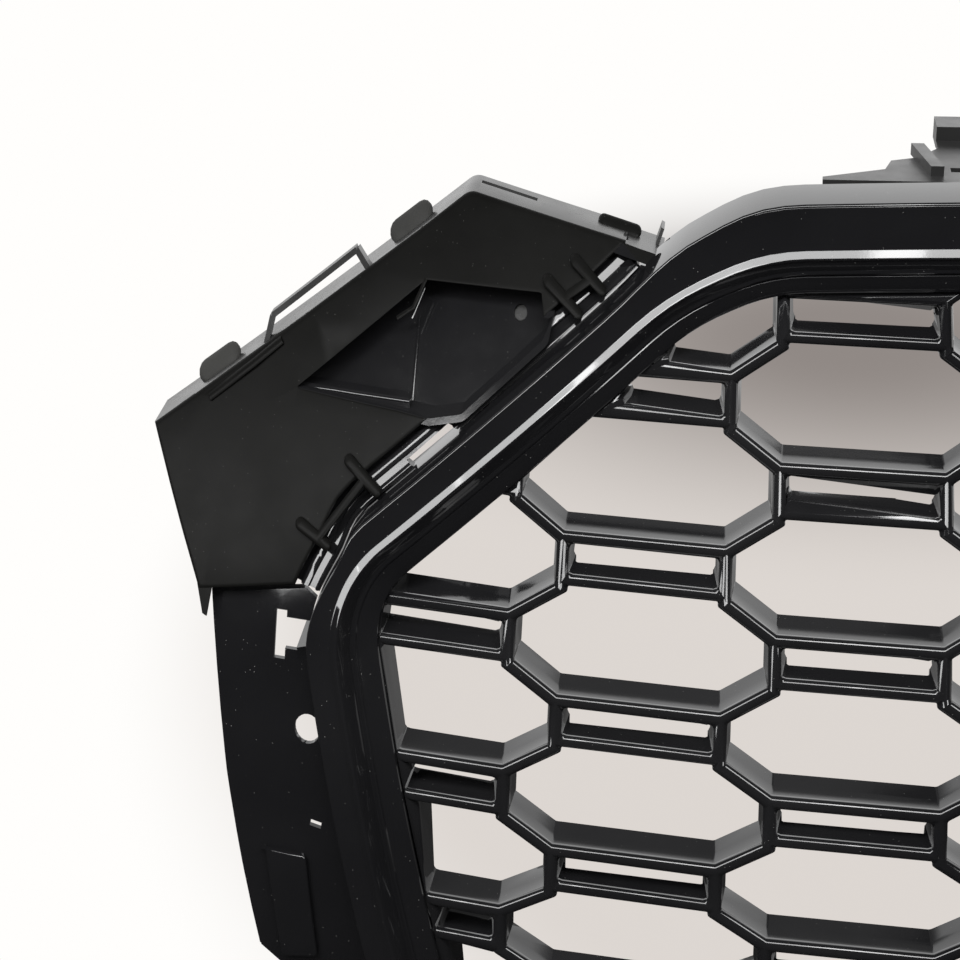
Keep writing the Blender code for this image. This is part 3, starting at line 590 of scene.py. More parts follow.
def soft_block(outline, rims, front, back, radius, steps, side):
    """A block whose outline moves in (side -1) or out (side 1) over an arc at the front."""
    for k in range(steps + 1):
        turn = math.radians(90 * k / steps)
        rims.append((front + radius * (1 - math.cos(turn)), side * radius * (1 - math.sin(turn))))
    shapes = [(depth, grown(outline, reach)) for depth, reach in rims] + [(back, outline)]
    return skinned([[(x, depth, z) for x, z in shape] for depth, shape in shapes])


def soft_plate(outline, front, back, radius):
    """A plate whose front edge is rounded over."""
    return soft_block(outline, [], front, back, radius, 4, -1)


def soft_well(outline, front, back, radius):
    """A cutter whose mouth flares, so that the edge it leaves is rounded."""
    return soft_block(outline, [(front - 4.0, radius)], front, back, radius, 3, 1)


def walls(points, half, front, back, step):
    """Bars along a line of points, each set back a little so that no two of their faces coincide."""
    pairs = enumerate(zip(points, points[1:]))
    return [slot(a, b, half, front + step * k, back - step * k) for k, (a, b) in pairs]


def wing(stations, seats):
    """Left wing, with its face at y = 0 before it is bent onto the body surface."""
    edge = beside_trim(stations, *WING_SPAN, CHANNEL)
    face = [Vector(WING_FACE[0]), Vector(WING_FACE[1])] + rounded_peak() + edge[::-1]
    tray = soft_plate(face, 0.0, WING_DEPTH, EDGE_RADIUS)
    pocket = rounded(WING_POCKET, 12)
    legs = [leg for hook_legs in HOOKS.values() for leg in hook_legs[:2]]
    cuts = [prism(WINDOW, 0.0, 30.0), cylinder((-402, 64.5), 10.0, 21.0, 3.6, 24)]
    cuts += [cylinder(leg[0], -5.0, 10.0, 1.8, 12) for leg in legs]
    cuts.append(prism(WALL_SLOT, 20.0, 25.0))
    added = [prism(grown(pocket, SKIN), 1.0, 22.0), channel_strip(stations)]
    added += walls(STRAP, 1.4, 4.0, 11.0, 0.1)
    added.append(prism(WALL_END, 0.7, WING_DEPTH - 0.5))
    added.append(prism(CORNER_LIP, 0.9, 2.6))
    details = [prism(POCKET_SHELF, 7.0, 20.0), *(bead(*rib) for rib in RIBS), capsule(*WALL_PLUG, 3.0)]
    details.append(slot((-330.5, 96.0), (-327.5, 103.5), 0.9, 17.0, 30.0))
    steps = [("DIFFERENCE", prism(grown(face, -SKIN), SKIN, WING_DEPTH + 5))]
    steps += [("UNION", part) for part in added]
    steps += [("DIFFERENCE", soft_well(pocket, 0.0, 19.0, 0.9)), ("DIFFERENCE", merged(cuts))]
    steps += [("UNION", part) for part in details]
    flat = combine(tray, steps, SHEET_SOLVER)
    return fixed_tabs(draped(flat, WING_BACK, STRIP), seats, WING_BACK + CHANNEL_FLOOR)


def channel_section(z):
    """Section of the channel as (distance from the trim, depth). Its facet stands square to the trim's."""
    lean = -0.03 - 0.1 * (max(0.0, z + 40.0) / 45.0) ** 1.6
    top = 6.2 + 3.6 * lean
    facet = ((12.2, 9.0), (11.6, 8.6), (11.3, top + 0.5), (10.9, top), (7.4, 6.2), (7.0, 6.5), (6.6, 7.4))
    ridge = ((3.4, 7.4), (3.0, 6.1), (2.4, 5.6), (1.8, 5.8), (1.5, 6.4), (0.6, 6.8))
    return ((15.5, 9.0), *facet, *ridge, (0.6, 12.0), (15.5, 12.0))


def channel_strip(stations):
    """The moulded trough between the wing's face and the trim, with its polished facets."""
    low, high = WING_SPAN
    sections = []
    for point, outward in stations:
        if point.x < 0 and low < point.y < high and outward.y > -0.5:
            band = band_width(outward)
            spots = [(point + outward * (band + wide), depth) for wide, depth in channel_section(point.y)]
            sections.append([(p.x, depth, p.y) for p, depth in spots])
    return skinned(sections)


def bead(path, radius, sides=10):
    """A round rib along a path of (x, depth, z) points; the radius is one number or one per point."""
    spots = [Vector(p) for p in path]
    turns = [math.tau * k / sides for k in range(sides)]
    sections = []
    for i, spot in enumerate(spots):
        along = (spots[min(i + 1, len(spots) - 1)] - spots[max(i - 1, 0)]).normalized()
        across = along.cross(Vector((0, 1, 0))).normalized()
        up = across.cross(along)
        reach = radius[i] if isinstance(radius, tuple) else radius
        sections.append([spot + (across * math.cos(a) + up * math.sin(a)) * reach for a in turns])
    return skinned(sections)


def capsule(start, end, radius, foot=None, sides=14):
    """A round bar with domed ends between two (x, depth, z) points; foot is its radius at the end."""
    start, end = Vector(start), Vector(end)
    foot = foot or radius
    along = (end - start).normalized()
    turns = [math.radians(angle) for angle in (15, 40, 65)]
    path = [start - along * radius * math.cos(a) for a in turns] + [start, end]
    path += [end + along * foot * math.cos(a) for a in turns[::-1]]
    radii = [radius * math.sin(a) for a in turns] + [radius, foot]
    radii += [foot * math.sin(a) for a in turns[::-1]]
    return bead(path, tuple(radii), sides)


def rounded_peak():
    """The wing's top corner, rounded."""
    peak = Vector(WING_FACE[2])
    before = (Vector(WING_FACE[1]) - peak).normalized()
    after = (Vector(PEAK_TOWARD) - peak).normalized()
    return corner_arc(peak, before, after, PEAK_RADIUS, 5)


def inside(outline, x, z):
    """Whether a point of the front view lies inside a closed outline."""
    hit = False
    for i, (ax, az) in enumerate(outline):
        bx, bz = outline[i - 1]
        if (az > z) != (bz > z) and x < (bx - ax) * (z - az) / (bz - az) + ax:
            hit = not hit
    return hit


def plug_distance(x, depth, z):
    """How far a point of the wing is from the axis of the plug on its upper wall."""
    start, end = (Vector(p) for p in WALL_PLUG)
    along = (end - start).normalized()
    offset = Vector((x, depth, z)) - start
    reach = min((end - start).length, max(0.0, offset.dot(along)))
    return (offset - along * reach).length


def gloss_inside(obj, stations, look):
    """The wing's pocket and channel are polished; its walls take a lighter copy of the satin as painted
    light; the rest of it is satin.
    """
    obj.data.materials.append(look)
    obj.data.materials.append(LOOKS["painted_light_satin_wall"])
    pocket = [tuple(p) for p in grown(rounded(WING_POCKET, 12), 1.4)]
    near = beside_trim(stations, *WING_SPAN, 0.0) + beside_trim(stations, *WING_SPAN, CHANNEL + 0.4)[::-1]
    near = [tuple(p) for p in near]
    for face in obj.data.polygons:
        x, y, z = face.center / MM + ORIGIN
        x = -abs(x)
        sunk = y - body(x, z) - WING_BACK
        in_pocket = 0.4 < sunk < 20.0 and inside(pocket, x, z)
        if in_pocket or (0.6 < sunk < CHANNEL_FLOOR + 0.5 and inside(near, x, z)):
            face.material_index = 1
        # walls deeper than the face take the lighter satin copy: painted light
        elif sunk > 2.0 and plug_distance(x, sunk, z) > 3.2:
            face.material_index = 2


def fixed_tabs(bent, seats, depth):
    """Adds the tabs that reach in behind the trim."""
    tabs = []
    for point, outward in seats:
        band = band_width(outward)
        near = body(*(point + outward * (band + 4.0))) + depth + 1.0
        back = max(clamp(point) + SKIN, near + 3.0)
        tabs.append(tab(point, outward, BOSS_AT - 6, band + 4.0))
        tabs.append(block(point, outward, band + 1.2, band + 7.0, min(near, clamp(point)), back))
    return combine(bent, joins(tabs, seats), SHEET_SOLVER)


def side_panel(stations, seats):
    """Left side panel, beside the lower half of the trim."""
    edge = beside_trim(stations, -292, -62, SEAM)
    plate = prism([*PANEL_OUTER, *edge, PANEL_CORNER], 0, SKIN)
    inner = [(x + 1.2, z - 0.4) for x, z in PANEL_OUTER]
    added = walls(inner[:5], 1.4, 0.6, 25.0, 0.02)
    added.append(slot((-546, -150), (-503, -141), 2.0, 1.0, 12.0))
    added.append(soft_plate(rounded(PAD, 20), -3.0, 2.0, 1.2))
    cuts = [prism(TEE, -5.0, 10.0), cylinder((-502.8, -121.5), -5.0, 10.0, 7.0, 24)]
    cuts.append(slot((-500, -167), (-494, -168), 1.6, -5.0, 10.0))
    steps = [("UNION", part) for part in added] + [("DIFFERENCE", merged(cuts))]
    return fixed_tabs(draped(combine(plate, steps, SHEET_SOLVER), PANEL_BACK, STRIP), seats, PANEL_BACK)


def hook(legs):
    """An H-shaped clip that bridges the channel: two round legs joined by a bar."""
    first, second, bar = legs
    parts = []
    for (ax, az), (bx, bz) in (first, second):
        parts.append(capsule((ax, -2.6, az), (bx, -1.2, bz), 2.9, 2.5))
        parts.append(cylinder((ax, az), -2.0, 6.0, 1.3, 12))
    (ax, az), (bx, bz) = bar
    parts.append(capsule((ax, -2.2, az), (bx, -2.2, bz), 2.1))
    base, *others = parts
    return draped(combine(base, [("UNION", part) for part in others]), WING_BACK, WHOLE)


def buffer_pad(start, end):
    """A soft round stop that sits over the edge of a wing's upper wall."""
    corner, peak = Vector(WING_FACE[1]), Vector(WING_FACE[2])
    along = (peak - corner).normalized()
    up = Vector((-along.y, along.x)) * 2.6
    first, last = (corner + along * reach + up for reach in (start + 4.5, end - 4.5))
    pad = capsule((first.x, 17.0, first.y), (last.x, 17.0, last.y), 5.4, sides=18)
    return draped(pad, WING_BACK, WHOLE)


def nearest(stations, x, z):
    """The station closest to a point of the front view."""
    return min(stations, key=lambda s: (s[0] - Vector((x, z))).length)


def with_mirrored(seats):
    """The seats on the left followed by those on the right."""
    return seats + [(Vector((-p.x, p.y)), Vector((-o.x, o.y))) for p, o in seats]


# ---------------------------------------------------------------- finer versions of the pieces

FINE_ANGLE = 4.0
FINE_STEP = 11.0
CORNER_POINTS = 3


def finish_piece(name, bm, node, look, smooth=35.0):
    """Turns a bmesh in millimetres into a shown object in metres that stands for a CAD node."""
    bmesh.ops.remove_doubles(bm, verts=bm.verts, dist=1e-4)
    bmesh.ops.triangulate(bm, faces=[f for f in bm.faces if len(f.verts) > 4])
    bmesh.ops.recalc_face_normals(bm, faces=bm.faces)
    for vert in bm.verts:
        vert.co = (vert.co - ORIGIN) * MM
    mesh = bpy.data.meshes.new(name)
    bm.to_mesh(mesh)
    bm.free()
    mesh.shade_smooth()
    mesh.set_sharp_from_angle(angle=math.radians(smooth))
    mesh.materials.append(look)
    obj = bpy.data.objects.new(name, mesh)
    bpy.context.scene.collection.objects.link(obj)
    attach(obj, "grille")
    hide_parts(node)
    return obj


def filleted(points, radius, count=CORNER_POINTS):
    """Each corner turned into a few points of an arc; the number of points never changes."""
    result = []
    total = len(points)
    for i, here in enumerate(points):
        before = points[i - 1] - here
        after = points[(i + 1) % total] - here
        if before.length < 0.05 or after.length < 0.05:
            result += [here.copy() for _ in range(count)]
            continue
        room = 0.45 * min(before.length, after.length)
        before.normalize()
        after.normalize()
        half = before.angle(after) / 2
        if half > math.radians(88) or half < math.radians(5):
            result += [here.copy() for _ in range(count)]
            continue
        cut = min(radius / math.tan(half), room)
        reach = cut * math.tan(half)
        centre = here + (before + after).normalized() * reach / math.sin(half)
        start = here + before * cut - centre
        turn = math.pi - 2 * half
        if start.x * after.y - start.y * after.x < 0:
            turn = -turn
        for step in range(count):
            result.append(centre + Matrix.Rotation(turn * step / (count - 1), 2) @ start)
    return result


def bar_levels():
    """Half thickness, depth and corner radius at each step from a bar's nose to its back."""
    levels = []
    steps = 8
    for k in range(1, steps + 1):
        turn = math.radians(112 * k / steps)
        main = 3.5 * math.sin(turn)
        depth = 3.4 * (1 - math.cos(turn))
        share = min(1.0, k / 5)
        widths = {"main": main, "thin": main * 0.86, "border": 0.25 * share + 0.07 * k}
        levels.append((widths, depth, 2.6 * share))
    for depth in (5.4, 13.0, BAR_DEPTH - 0.8):
        share = (depth - 5.4) / (BAR_DEPTH - 5.4)
        widths = {
            "main": 3.15 + (BAR_BACK - 3.15) * share,
            "thin": 2.70 + (THIN_BACK - 2.70) * share,
            "border": 0.95 + 2.0 * share,
        }
        levels.append((widths, depth, 2.6 + 0.4 * share))
    levels.append(({"main": BAR_BACK - 0.7, "thin": THIN_BACK - 0.7, "border": 2.4}, BAR_DEPTH, 2.2))
    return levels


def mesh_lattice(stations):
    """The honeycomb and its frame, with rounded bar fronts and small corner radii."""
    stations = corners_only(stations)
    window = [point - outward * LIP for point, outward in stations]
    frame = [point - outward * (LIP - FRAME) for point, outward in stations]
    if sum(a.x * b.y - a.y * b.x for a, b in zip(window, window[1:] + window[:1])) < 0:
        window.reverse()
        frame.reverse()
    bm = bmesh.new()
    known = {}

    def vertex(point, depth, level):
        key = (round(point.x, 3), round(point.y, 3), level)
        if key not in known:
            known[key] = bm.verts.new((point.x, depth, point.y))
        return known[key]

    def face(corners):
        unique = list(dict.fromkeys(corners))
        if len(unique) > 2:
            bm.faces.new(unique)

    levels = bar_levels()
    rim = set()
    for cell in honeycomb_cells(window):
        rim.update((round(p.x, 3), round(p.y, 3)) for p, _ in cell)
        ridge = [vertex(p, body(*p), 0) for p, _ in cell]
        valley = [vertex(p, body(*p) + BAR_DEPTH, 3) for p, _ in cell]
        loops = []
        for distances, depth, radius in levels:
            moved = inset(cell, distances)
            if moved is None:
                break
            curved = filleted(moved, radius)
            anchors = [p for p, _ in cell for _ in range(CORNER_POINTS)]
            spots = {}
            for p, q in zip(anchors, curved):
                spots.setdefault((round(q.x, 4), round(q.y, 4)), []).append(body(*p))
            loop = []
            for q in curved:
                near = spots[(round(q.x, 4), round(q.y, 4))]
                loop.append(bm.verts.new((q.x, sum(near) / len(near) + depth, q.y)))
            loops.append(loop)
        if len(loops) < len(levels):
            for loop in loops:
                for vert in loop:
                    bm.verts.remove(vert)
            face(ridge)
            face(valley[::-1])
            continue
        wide = [v for v in ridge for _ in range(CORNER_POINTS)]
        deep = [v for v in valley for _ in range(CORNER_POINTS)]
        loops = [wide, *loops, deep]
        count = len(wide)
        for first, second in zip(loops, loops[1:]):
            for i in range(count):
                j = (i + 1) % count
                face((first[i], first[j], second[j], second[i]))
    for i, start in enumerate(window):
        end = window[(i + 1) % len(window)]
        along = (end - start).normalized()
        between = []
        for x, z in rim:
            offset = Vector((x, z)) - start
            if abs(offset.x * along.y - offset.y * along.x) < 0.002:
                if 0.002 < offset.dot(along) < (end - start).length - 0.002:
                    between.append((offset.dot(along), Vector((x, z))))
        inner = [start] + [p for _, p in sorted(between, key=lambda item: item[0])] + [end]
        outer = [frame[(i + 1) % len(frame)], frame[i]]
        for level, depth in ((0, 0.0), (3, BAR_DEPTH)):
            face(
                [vertex(p, body(*p) + depth, level) for p in inner]
                + [vertex(p, body(*p) + depth, level + 10) for p in outer]
            )
        near = [vertex(p, body(*p), 10) for p in outer]
        far = [vertex(p, body(*p) + BAR_DEPTH, 13) for p in outer]
        face((near[0], near[1], far[1], far[0]))
    bmesh.ops.remove_doubles(bm, verts=bm.verts, dist=0.002)
    return bm


FACET = 4.2  # width of the trim's crest facet, which carries the long highlight
FACET_SLOPE = 0.77
ROUND_OVER = 1.7  # rounding of the trim's outer edge


def arc(centre, radius, start, end, steps):
    """Points of an arc in the section plane; the angles are in degrees, 0 outward and 90 forward."""
    made = []
    for k in range(steps + 1):
        turn = math.radians(start + (end - start) * k / steps)
        made.append((centre[0] + radius * math.cos(turn), centre[1] - radius * math.sin(turn)))
    return made


def trim_section(point, outward):
    """Closed section of the trim at one station, as points in space."""
    crest = crest_depth(point)
    band = band_width(outward)
    scale = band / BAND_NOMINAL
    drop = BAND_DROP * scale
    lip_at = point - outward * (LIP - GAP)
    lip = body(*lip_at) - GAP - WALL
    run = lip - crest
    under = LIP - FRAME + 0.6
    seat = body(*(point - outward * under)) - GAP
    edge = arc((band - ROUND_OVER, crest + drop + ROUND_OVER), ROUND_OVER, 0.0, 80.0, 5)
    facet = FACET * min(1.0, max(0.75, scale))
    start = crest + 0.25
    rise = start + (facet - 0.4) * FACET_SLOPE
    sheet = []
    for k in range(9, 0, -1):
        t = 0.05 + 0.88 * k / 9
        reach = facet + 0.5 + (band - facet - 0.5) * t
        sheet.append((reach, rise + 0.25 + (crest + drop - rise - 0.25) * (1 - (1 - t) ** 1.5)))
    cap = [(facet + 0.5, rise + 0.25), (facet, rise), (facet - 0.3, rise - 0.3 * FACET_SLOPE)]
    cap += [(0.7, start + 0.3 * FACET_SLOPE), (0.4, start), (0.0, crest), (-0.5, crest + 0.05)]
    cap += [(-1.0, crest + 0.35), (-1.5, crest + 1.0)]
    first = 0.60 * run
    step = crest + first  # depth of the small ledge part of the way in
    inner = [(-3.2, crest + 0.9 + (first - 0.9) * 0.32), (-5.2, crest + 0.9 + (first - 0.9) * 0.68)]
    inner += [(-6.6, step), (-7.2, step + 0.25), (-7.9, step + 0.1), (-8.7, step - 0.1)]
    inner += [(-9.4, step + 0.2), (-9.9, step + 1.2), (-10.6, step + 0.10 * run)]
    inner += [(-14.5, crest + 0.84 * run), (GAP - LIP + 1.0, lip - 0.5), (GAP - LIP + 0.3, lip - 0.1)]
    back = [(GAP - LIP, lip + 0.6), (GAP - LIP, body(*lip_at) - GAP), (-under, seat)]
    back += [(-4.0, max(crest + 0.5 * run + WALL, crest + 5.5)), (1.0, crest + WALL + 1.2)]
    back += [(15.0 * scale, crest + 7.4 * scale + WALL), (band - WALL, crest + drop + WALL + 1.0)]
    back.append((band - WALL, crest + RING_DEPTH))
    profile = [(band, crest + RING_DEPTH), *edge, *sheet, *cap, *inner, *back]
    return [Vector((point.x + outward.x * s, y, point.y + outward.y * s)) for s, y in profile]


def boss_front(point, outward):
    """Depth at which a screw boss starts, just inside the trim's front wall."""
    band = band_width(outward)
    share = min(BOSS_AT + BOSS_RADIUS, band - 0.8) / band
    return crest_depth(point) + BAND_DROP * band / BAND_NOMINAL * (1 - (1 - share) ** 2.1) + 1.0


def surround(stations, seats):
    """The trim with its drilled screw bosses."""
    bosses = []
    holes = []
    for point, outward in seats:
        place = point + outward * BOSS_AT
        back = clamp(point)
        bosses.append(cylinder(place, boss_front(point, outward), back - GAP, BOSS_RADIUS, 20))
        holes.append(cylinder(place, back - 18.0, back + 5, HOLE_RADIUS, 16))
    ring = swept([trim_section(*station) for station in stations])
    return combine(ring, [("UNION", merged(bosses)), ("DIFFERENCE", merged(holes))])


# ---------------------------------------------------------------- finishes


def set_inputs(node, **values):
    """Sets or links a node's inputs by name, with underscores for spaces."""
    for key, value in values.items():
        socket = node.inputs[key.replace("_", " ")]
        if isinstance(value, bpy.types.NodeSocket):
            node.id_data.links.new(value, socket)
        else:
            socket.default_value = value
    return node


def ranged(tree, value, low, high, to_low, to_high, smooth=False):
    """The value moved from one range to another, held at the ends."""
    node = tree.nodes.new("ShaderNodeMapRange")
    if smooth:
        node.interpolation_type = "SMOOTHSTEP"
    set_inputs(node, Value=value, From_Min=low, From_Max=high, To_Min=to_low, To_Max=to_high)
    return node.outputs["Result"]


def mixed(tree, share, first, second):
    """A mix of two colours, each given as a tuple or a socket."""
    node = tree.nodes.new("ShaderNodeMix")
    node.data_type = "RGBA"
    tree.links.new(share, node.inputs["Factor"])
    sockets = [socket for socket in node.inputs if socket.type == "RGBA"]
    for socket, colour in zip(sockets, (first, second)):
        if isinstance(colour, tuple):
            socket.default_value = (*colour, 1.0)
        else:
            tree.links.new(colour, socket)
    return [socket for socket in node.outputs if socket.type == "RGBA"][0]


def computed(tree, kind, operation, first, second):
    """Output of a math node; kind is Math or VectorMath."""
    node = tree.nodes.new(f"ShaderNode{kind}")
    node.operation = operation
    for socket, value in zip(node.inputs, (first, second)):
        if isinstance(value, bpy.types.NodeSocket):
            tree.links.new(value, socket)
        elif value is not None:
            socket.default_value = value
    return node.outputs["Value" if kind == "Math" or operation == "LENGTH" else "Vector"]


def noise(tree, place, scale, detail):
    node = tree.nodes.new("ShaderNodeTexNoise")
    set_inputs(node, Vector=place, Scale=scale, Detail=detail, Roughness=0.55)
    return node.outputs["Fac"]


def specks(tree, place, scale, size):
    """1 in the middle of small scattered dots, 0 elsewhere."""
    cells = tree.nodes.new("ShaderNodeTexVoronoi")
    set_inputs(cells, Vector=place, Scale=scale, Randomness=1.0)
    dots = ranged(tree, cells.outputs["Distance"], size, size * 0.6, 0.0, 1.0)
    chosen = set_inputs(tree.nodes.new("ShaderNodeSeparateColor"), Color=cells.outputs["Color"])
    rare = ranged(tree, chosen.outputs["Red"], 0.80, 0.82, 0.0, 1.0)
    return computed(tree, "Math", "MULTIPLY", dots, rare)


def moulded(name, colour, second, roughness, grain, depth, dust=0.0, edge=None, metallic=0.0, shine=0.5):
    """A moulded plastic or plated metal with colour drift, uneven gloss, surface grain and dust."""
    material = bpy.data.materials.new(name)
    material.use_nodes = True
    tree = material.node_tree
    place = tree.nodes.new("ShaderNodeTexCoord").outputs["Object"]
    drift = ranged(tree, noise(tree, place, 9.0, 4.0), 0.35, 0.65, 0.0, 1.0)
    base = mixed(tree, drift, colour, second)
    if dust:
        base = mixed(tree, specks(tree, place, 420.0, 0.09), base, (dust, dust, dust * 0.95))
    gloss = ranged(tree, noise(tree, place, 38.0, 5.0), 0.3, 0.7, *roughness)
    bump = tree.nodes.new("ShaderNodeBump")
    set_inputs(bump, Distance=depth, Strength=1.0, Height=noise(tree, place, grain, 2.0))
    if edge:
        rounding = set_inputs(tree.nodes.new("ShaderNodeBevel"), Radius=edge)
        rounding.samples = 4
        set_inputs(bump, Normal=rounding.outputs["Normal"])
    shader = tree.nodes["Principled BSDF"]
    set_inputs(shader, Base_Color=base, Roughness=gloss, Metallic=metallic, Normal=bump.outputs["Normal"])
    set_inputs(shader, Specular_IOR_Level=shine)
    return material


LOOKS = {
    "gloss_black": moulded(
        *("piano_black", (0.0045, 0.0045, 0.005), (0.006, 0.006, 0.0065)),
        *((0.035, 0.075), 240.0, 0.000006, 0.16),
    ),
    "mesh_black": moulded(
        *("mesh_black", (0.005, 0.005, 0.0055), (0.008, 0.008, 0.0085)),
        *((0.06, 0.12), 300.0, 0.00001, 0.10),
    ),
    "satin_black": moulded(
        *("satin_charcoal", (0.003, 0.003, 0.0028), (0.0045, 0.0045, 0.0042)),
        *((0.36, 0.46), 1500.0, 0.00003, 0.08),
        edge=0.0005,
        shine=0.05,
    ),
    # the wing's satin painted lighter for its walls as painted light; it is also glossier
    "painted_light_satin_wall": moulded(
        "painted_light_satin_wall", (0.012, 0.012, 0.012), (0.016, 0.016, 0.0155), (0.22, 0.32), 1200.0, 0.00003
    ),
    "matt_black": moulded(
        "matt_black", (0.012, 0.012, 0.012), (0.018, 0.018, 0.018), (0.30, 0.42), 1300.0, 0.00004
    ),
    "buffer_foam": moulded(
        "buffer_foam", (0.008, 0.008, 0.007), (0.014, 0.014, 0.012), (0.7, 0.9), 900.0, 0.00025
    ),
    "zinc_screw": moulded(
        "zinc_plate", (0.42, 0.42, 0.40), (0.50, 0.49, 0.44), (0.28, 0.42), 700.0, 0.00002, metallic=1.0
    ),
}


# ---------------------------------------------------------------- pieces


def both(name, bm, look, smooth=35.0):
    """A piece made for the left side, and its mirror image for the right."""
    shown = []
    for side, made in (("left", bm), ("right", mirrored(bm))):
        shown.append(finish_piece(f"{name}_{side}_skin", made, f"{name}_{side}", look, smooth))
    return shown


SEATS = (  # screw seats on the left half: the mesh's, the wing's, the side panel's and the rails'
    ((-282, 100), (-420, 5), (-465, -170), (-300, -316)),
    ((-345, 65), (-465, -30)),
    ((-482, -100), (-447, -240)),
    ((-100, 107), (-200, -316)),
)


def build():
    coarse = crest_path()
    fine = crest_path(FINE_ANGLE, FINE_STEP)
    on_mesh, on_wing, on_panel, on_rail = ([nearest(coarse, *spot) for spot in spots] for spots in SEATS)
    trim = surround(fine, with_mirrored(on_mesh + on_wing + on_panel + on_rail))
    finish_piece("surround_trim_skin", trim, "surround_trim", LOOKS["gloss_black"], 30.0)
    insert = mesh_insert(fine, with_mirrored(on_mesh))
    finish_piece("honeycomb_mesh_skin", insert, "honeycomb_mesh", LOOKS["mesh_black"])
    satin = LOOKS["satin_black"]
    for made in both("wing", wing(fine, on_wing), satin):
        gloss_inside(made, fine, LOOKS["mesh_black"])
    both("side_panel", side_panel(fine, on_panel), LOOKS["gloss_black"])
    for name, legs in HOOKS.items():
        both(f"channel_clip_{name}", hook(legs), satin)
    for name, ends in BUFFERS.items():
        both(f"edge_buffer_{name}", buffer_pad(*ends), LOOKS["buffer_foam"])


def dress_frame():
    """Better materials on the CAD nodes that stay in sight."""
    for name, obj in frame["nodes"].items():
        if "screw" in name:
            look = LOOKS["zinc_screw"]
        elif "rivet" in name or "rail" in name:
            look = LOOKS["matt_black"]
        else:
            continue
        for place in obj.material_slots:
            place.material = look


# ---------------------------------------------------------------- stage, light and camera


BEHIND = 1.7  # brightness of the white backdrop, as the black parts mirror it
BEHIND_FLOOR = 0.55  # the same for the floor behind the object
SHADE = (  # centre, half size, inner and outer edge of each painted soft shadow on the floor, and the shadow's colour
    ((0.0, 0.70), (0.78, 1.0), 0.72, 1.0, (0.72, 0.675, 0.64)),
    ((-0.16, 1.22), (0.62, 0.60), 0.10, 1.0, (0.28, 0.25, 0.235)),
)


def source(tree, kind, colour, strength):
    """Output of an emission or background node; each value is a number, a tuple or a socket."""
    return set_inputs(tree.nodes.new(f"ShaderNode{kind}"), Color=colour, Strength=strength).outputs[0]


def by_ray(tree, kind, usual, special):
    """The usual shader, or the special one for rays of the kind named."""
    mix = tree.nodes.new("ShaderNodeMixShader")
    share = tree.nodes.new("ShaderNodeLightPath").outputs[kind]
    for socket, output in zip(mix.inputs, (share, usual, special)):
        tree.links.new(output, socket)
    return mix.outputs[0]


def split_axes(tree, vector):
    return set_inputs(tree.nodes.new("ShaderNodeSeparateXYZ"), Vector=vector).outputs


FLOOR_COLOUR = (1.0, 0.99, 0.975)
FLOOR_HALF = 30.0  # half the length of the floor's side


def floor(level):
    """A wide pale floor with painted soft shadows behind the object. Seen in a reflection it is bright
    behind the object and dark in front.
    """
    bm = bmesh.new()
    bmesh.ops.create_grid(bm, x_segments=2, y_segments=2, size=FLOOR_HALF)
    mesh = bpy.data.meshes.new("floor")
    bm.to_mesh(mesh)
    bm.free()
    material = bpy.data.materials.new("pale_floor")
    material.use_nodes = True
    tree = material.node_tree
    tree.nodes.remove(tree.nodes["Principled BSDF"])
    place = tree.nodes.new("ShaderNodeTexCoord").outputs["Object"]
    colour = FLOOR_COLOUR
    # each pass darkens the floor's colour with one painted soft shadow
    for (x, y), (wide, deep), inner, outer, shadow_tint in SHADE:
        shift = computed(tree, "VectorMath", "SUBTRACT", place, (x, y - ORIGIN.y * MM, 0.0))
        scaled = computed(tree, "VectorMath", "MULTIPLY", shift, (1 / wide, 1 / deep, 0.0))
        away = computed(tree, "VectorMath", "LENGTH", scaled, None)
        colour = mixed(tree, ranged(tree, away, inner, outer, 1.0, 0.0, smooth=True), colour, shadow_tint)
    shine = ranged(tree, split_axes(tree, place)["Y"], -0.1, 0.9, 0.02, BEHIND_FLOOR, smooth=True)
    lit = source(tree, "Emission", colour, 1.0)
    glow = source(tree, "Emission", (1.0, 0.99, 0.98, 1.0), shine)
    shown = by_ray(tree, "Is Glossy Ray", lit, glow)
    tree.links.new(shown, tree.nodes["Material Output"].inputs["Surface"])
    mesh.materials.append(material)
    obj = bpy.data.objects.new("floor", mesh)
    obj.location = (0.0, 0.0, level)
    bpy.context.scene.collection.objects.link(obj)


LIGHT_FROM = (Vector((-300.0, -53.6, 38.0)) - ORIGIN) * MM  # the point that every soft box faces
LIGHT_REACH = 2.3  # distance of the soft boxes from that point
LIGHT_ARC = (  # direction of each soft box
    *((0.60, -0.44, 0.74), (0.20, -0.48, 0.86), (-0.08, -0.43, 0.90)),
    *((-0.31, -0.45, 0.84), (-0.56, -0.50, 0.66), (-0.80, -0.38, 0.47)),
)
LIGHT_WIDE = 0.62
LIGHT_POWER = 12.0


def put_at(obj, right, up, back, spot):
    """Puts a light or camera into the scene by its own axes and its position."""
    obj.matrix_world = Matrix([(right[k], up[k], back[k], spot[k]) for k in range(3)] + [(0, 0, 0, 1)])
    bpy.context.scene.collection.objects.link(obj)


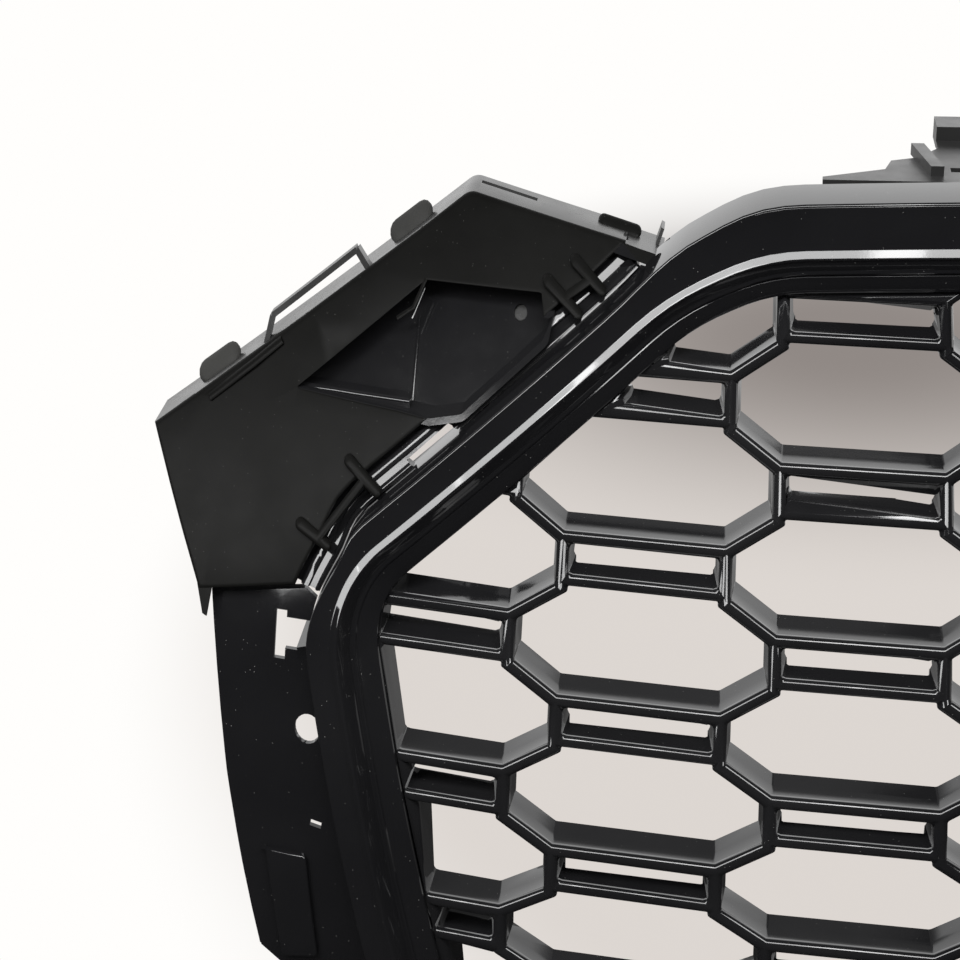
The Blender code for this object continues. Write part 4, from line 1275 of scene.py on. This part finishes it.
def light_arc():
    """Soft boxes side by side in an arc from above the front of the object round to its left."""
    spots = [LIGHT_FROM + Vector(way).normalized() * LIGHT_REACH for way in LIGHT_ARC]
    for i, spot in enumerate(spots):
        before, after = spots[max(i - 1, 0)], spots[min(i + 1, len(spots) - 1)]
        along = (after - before).normalized()
        back = (spot - LIGHT_FROM).normalized()
        across = back.cross(along).normalized()
        along = across.cross(back)
        light = bpy.data.lights.new(f"softbox_{i}", "AREA")
        light.shape = "RECTANGLE"
        light.size = (after - before).length * (0.56 if 0 < i < len(spots) - 1 else 1.0)
        light.size_y = LIGHT_WIDE
        light.energy = LIGHT_POWER * light.size * light.size_y * math.pi
        put_at(bpy.data.objects.new(light.name, light), along, across, back, spot)


def surroundings():
    """A white backdrop for the camera, a softer one as light, and a bright low band in reflections."""
    world = bpy.data.worlds.new("studio")
    bpy.context.scene.world = world
    world.use_nodes = True
    tree = world.node_tree
    tree.nodes.clear()
    seen = source(tree, "Background", (1.0, 0.99, 0.98, 1.0), 1.0)
    felt = source(tree, "Background", (1.0, 0.985, 0.97, 1.0), 0.75)
    axes = split_axes(tree, tree.nodes.new("ShaderNodeTexCoord").outputs["Generated"])
    low = ranged(tree, axes["Z"], 0.51, 0.61, 1.0, 0.12, smooth=True)
    backward = ranged(tree, axes["Y"], 0.1, 0.6, 0.0, BEHIND, smooth=True)
    lifted = computed(tree, "Math", "ADD", computed(tree, "Math", "MULTIPLY", low, backward), 0.015)
    reflected = source(tree, "Background", (1.0, 1.0, 1.0, 1.0), lifted)
    shown = by_ray(tree, "Is Camera Ray", by_ray(tree, "Is Glossy Ray", felt, reflected), seen)
    tree.links.new(shown, tree.nodes.new("ShaderNodeOutputWorld").inputs["Surface"])


CAMERA_AT = (Vector((-294.07, -1112.90, 507.54)) - ORIGIN) * MM
CAMERA_RIGHT = (0.994617, 0.103182, -0.009455)
CAMERA_UP = (-0.033380, 0.405473, 0.913497)
CAMERA_BACK = (0.098090, -0.908265, 0.406735)


def camera():
    data = bpy.data.cameras.new("camera")
    data.lens = 90.0
    data.sensor_width = 36.0
    obj = bpy.data.objects.new("camera", data)
    put_at(obj, CAMERA_RIGHT, CAMERA_UP, CAMERA_BACK, CAMERA_AT)
    bpy.context.scene.camera = obj


FLOOR_DROP = 0.012  # the floor lies this far below the lowest point of the object

build()
dress_frame()
floor(CAD_BOX[0][2] - FLOOR_DROP)
light_arc()
surroundings()
camera()
bpy.context.scene.view_settings.view_transform = "Standard"
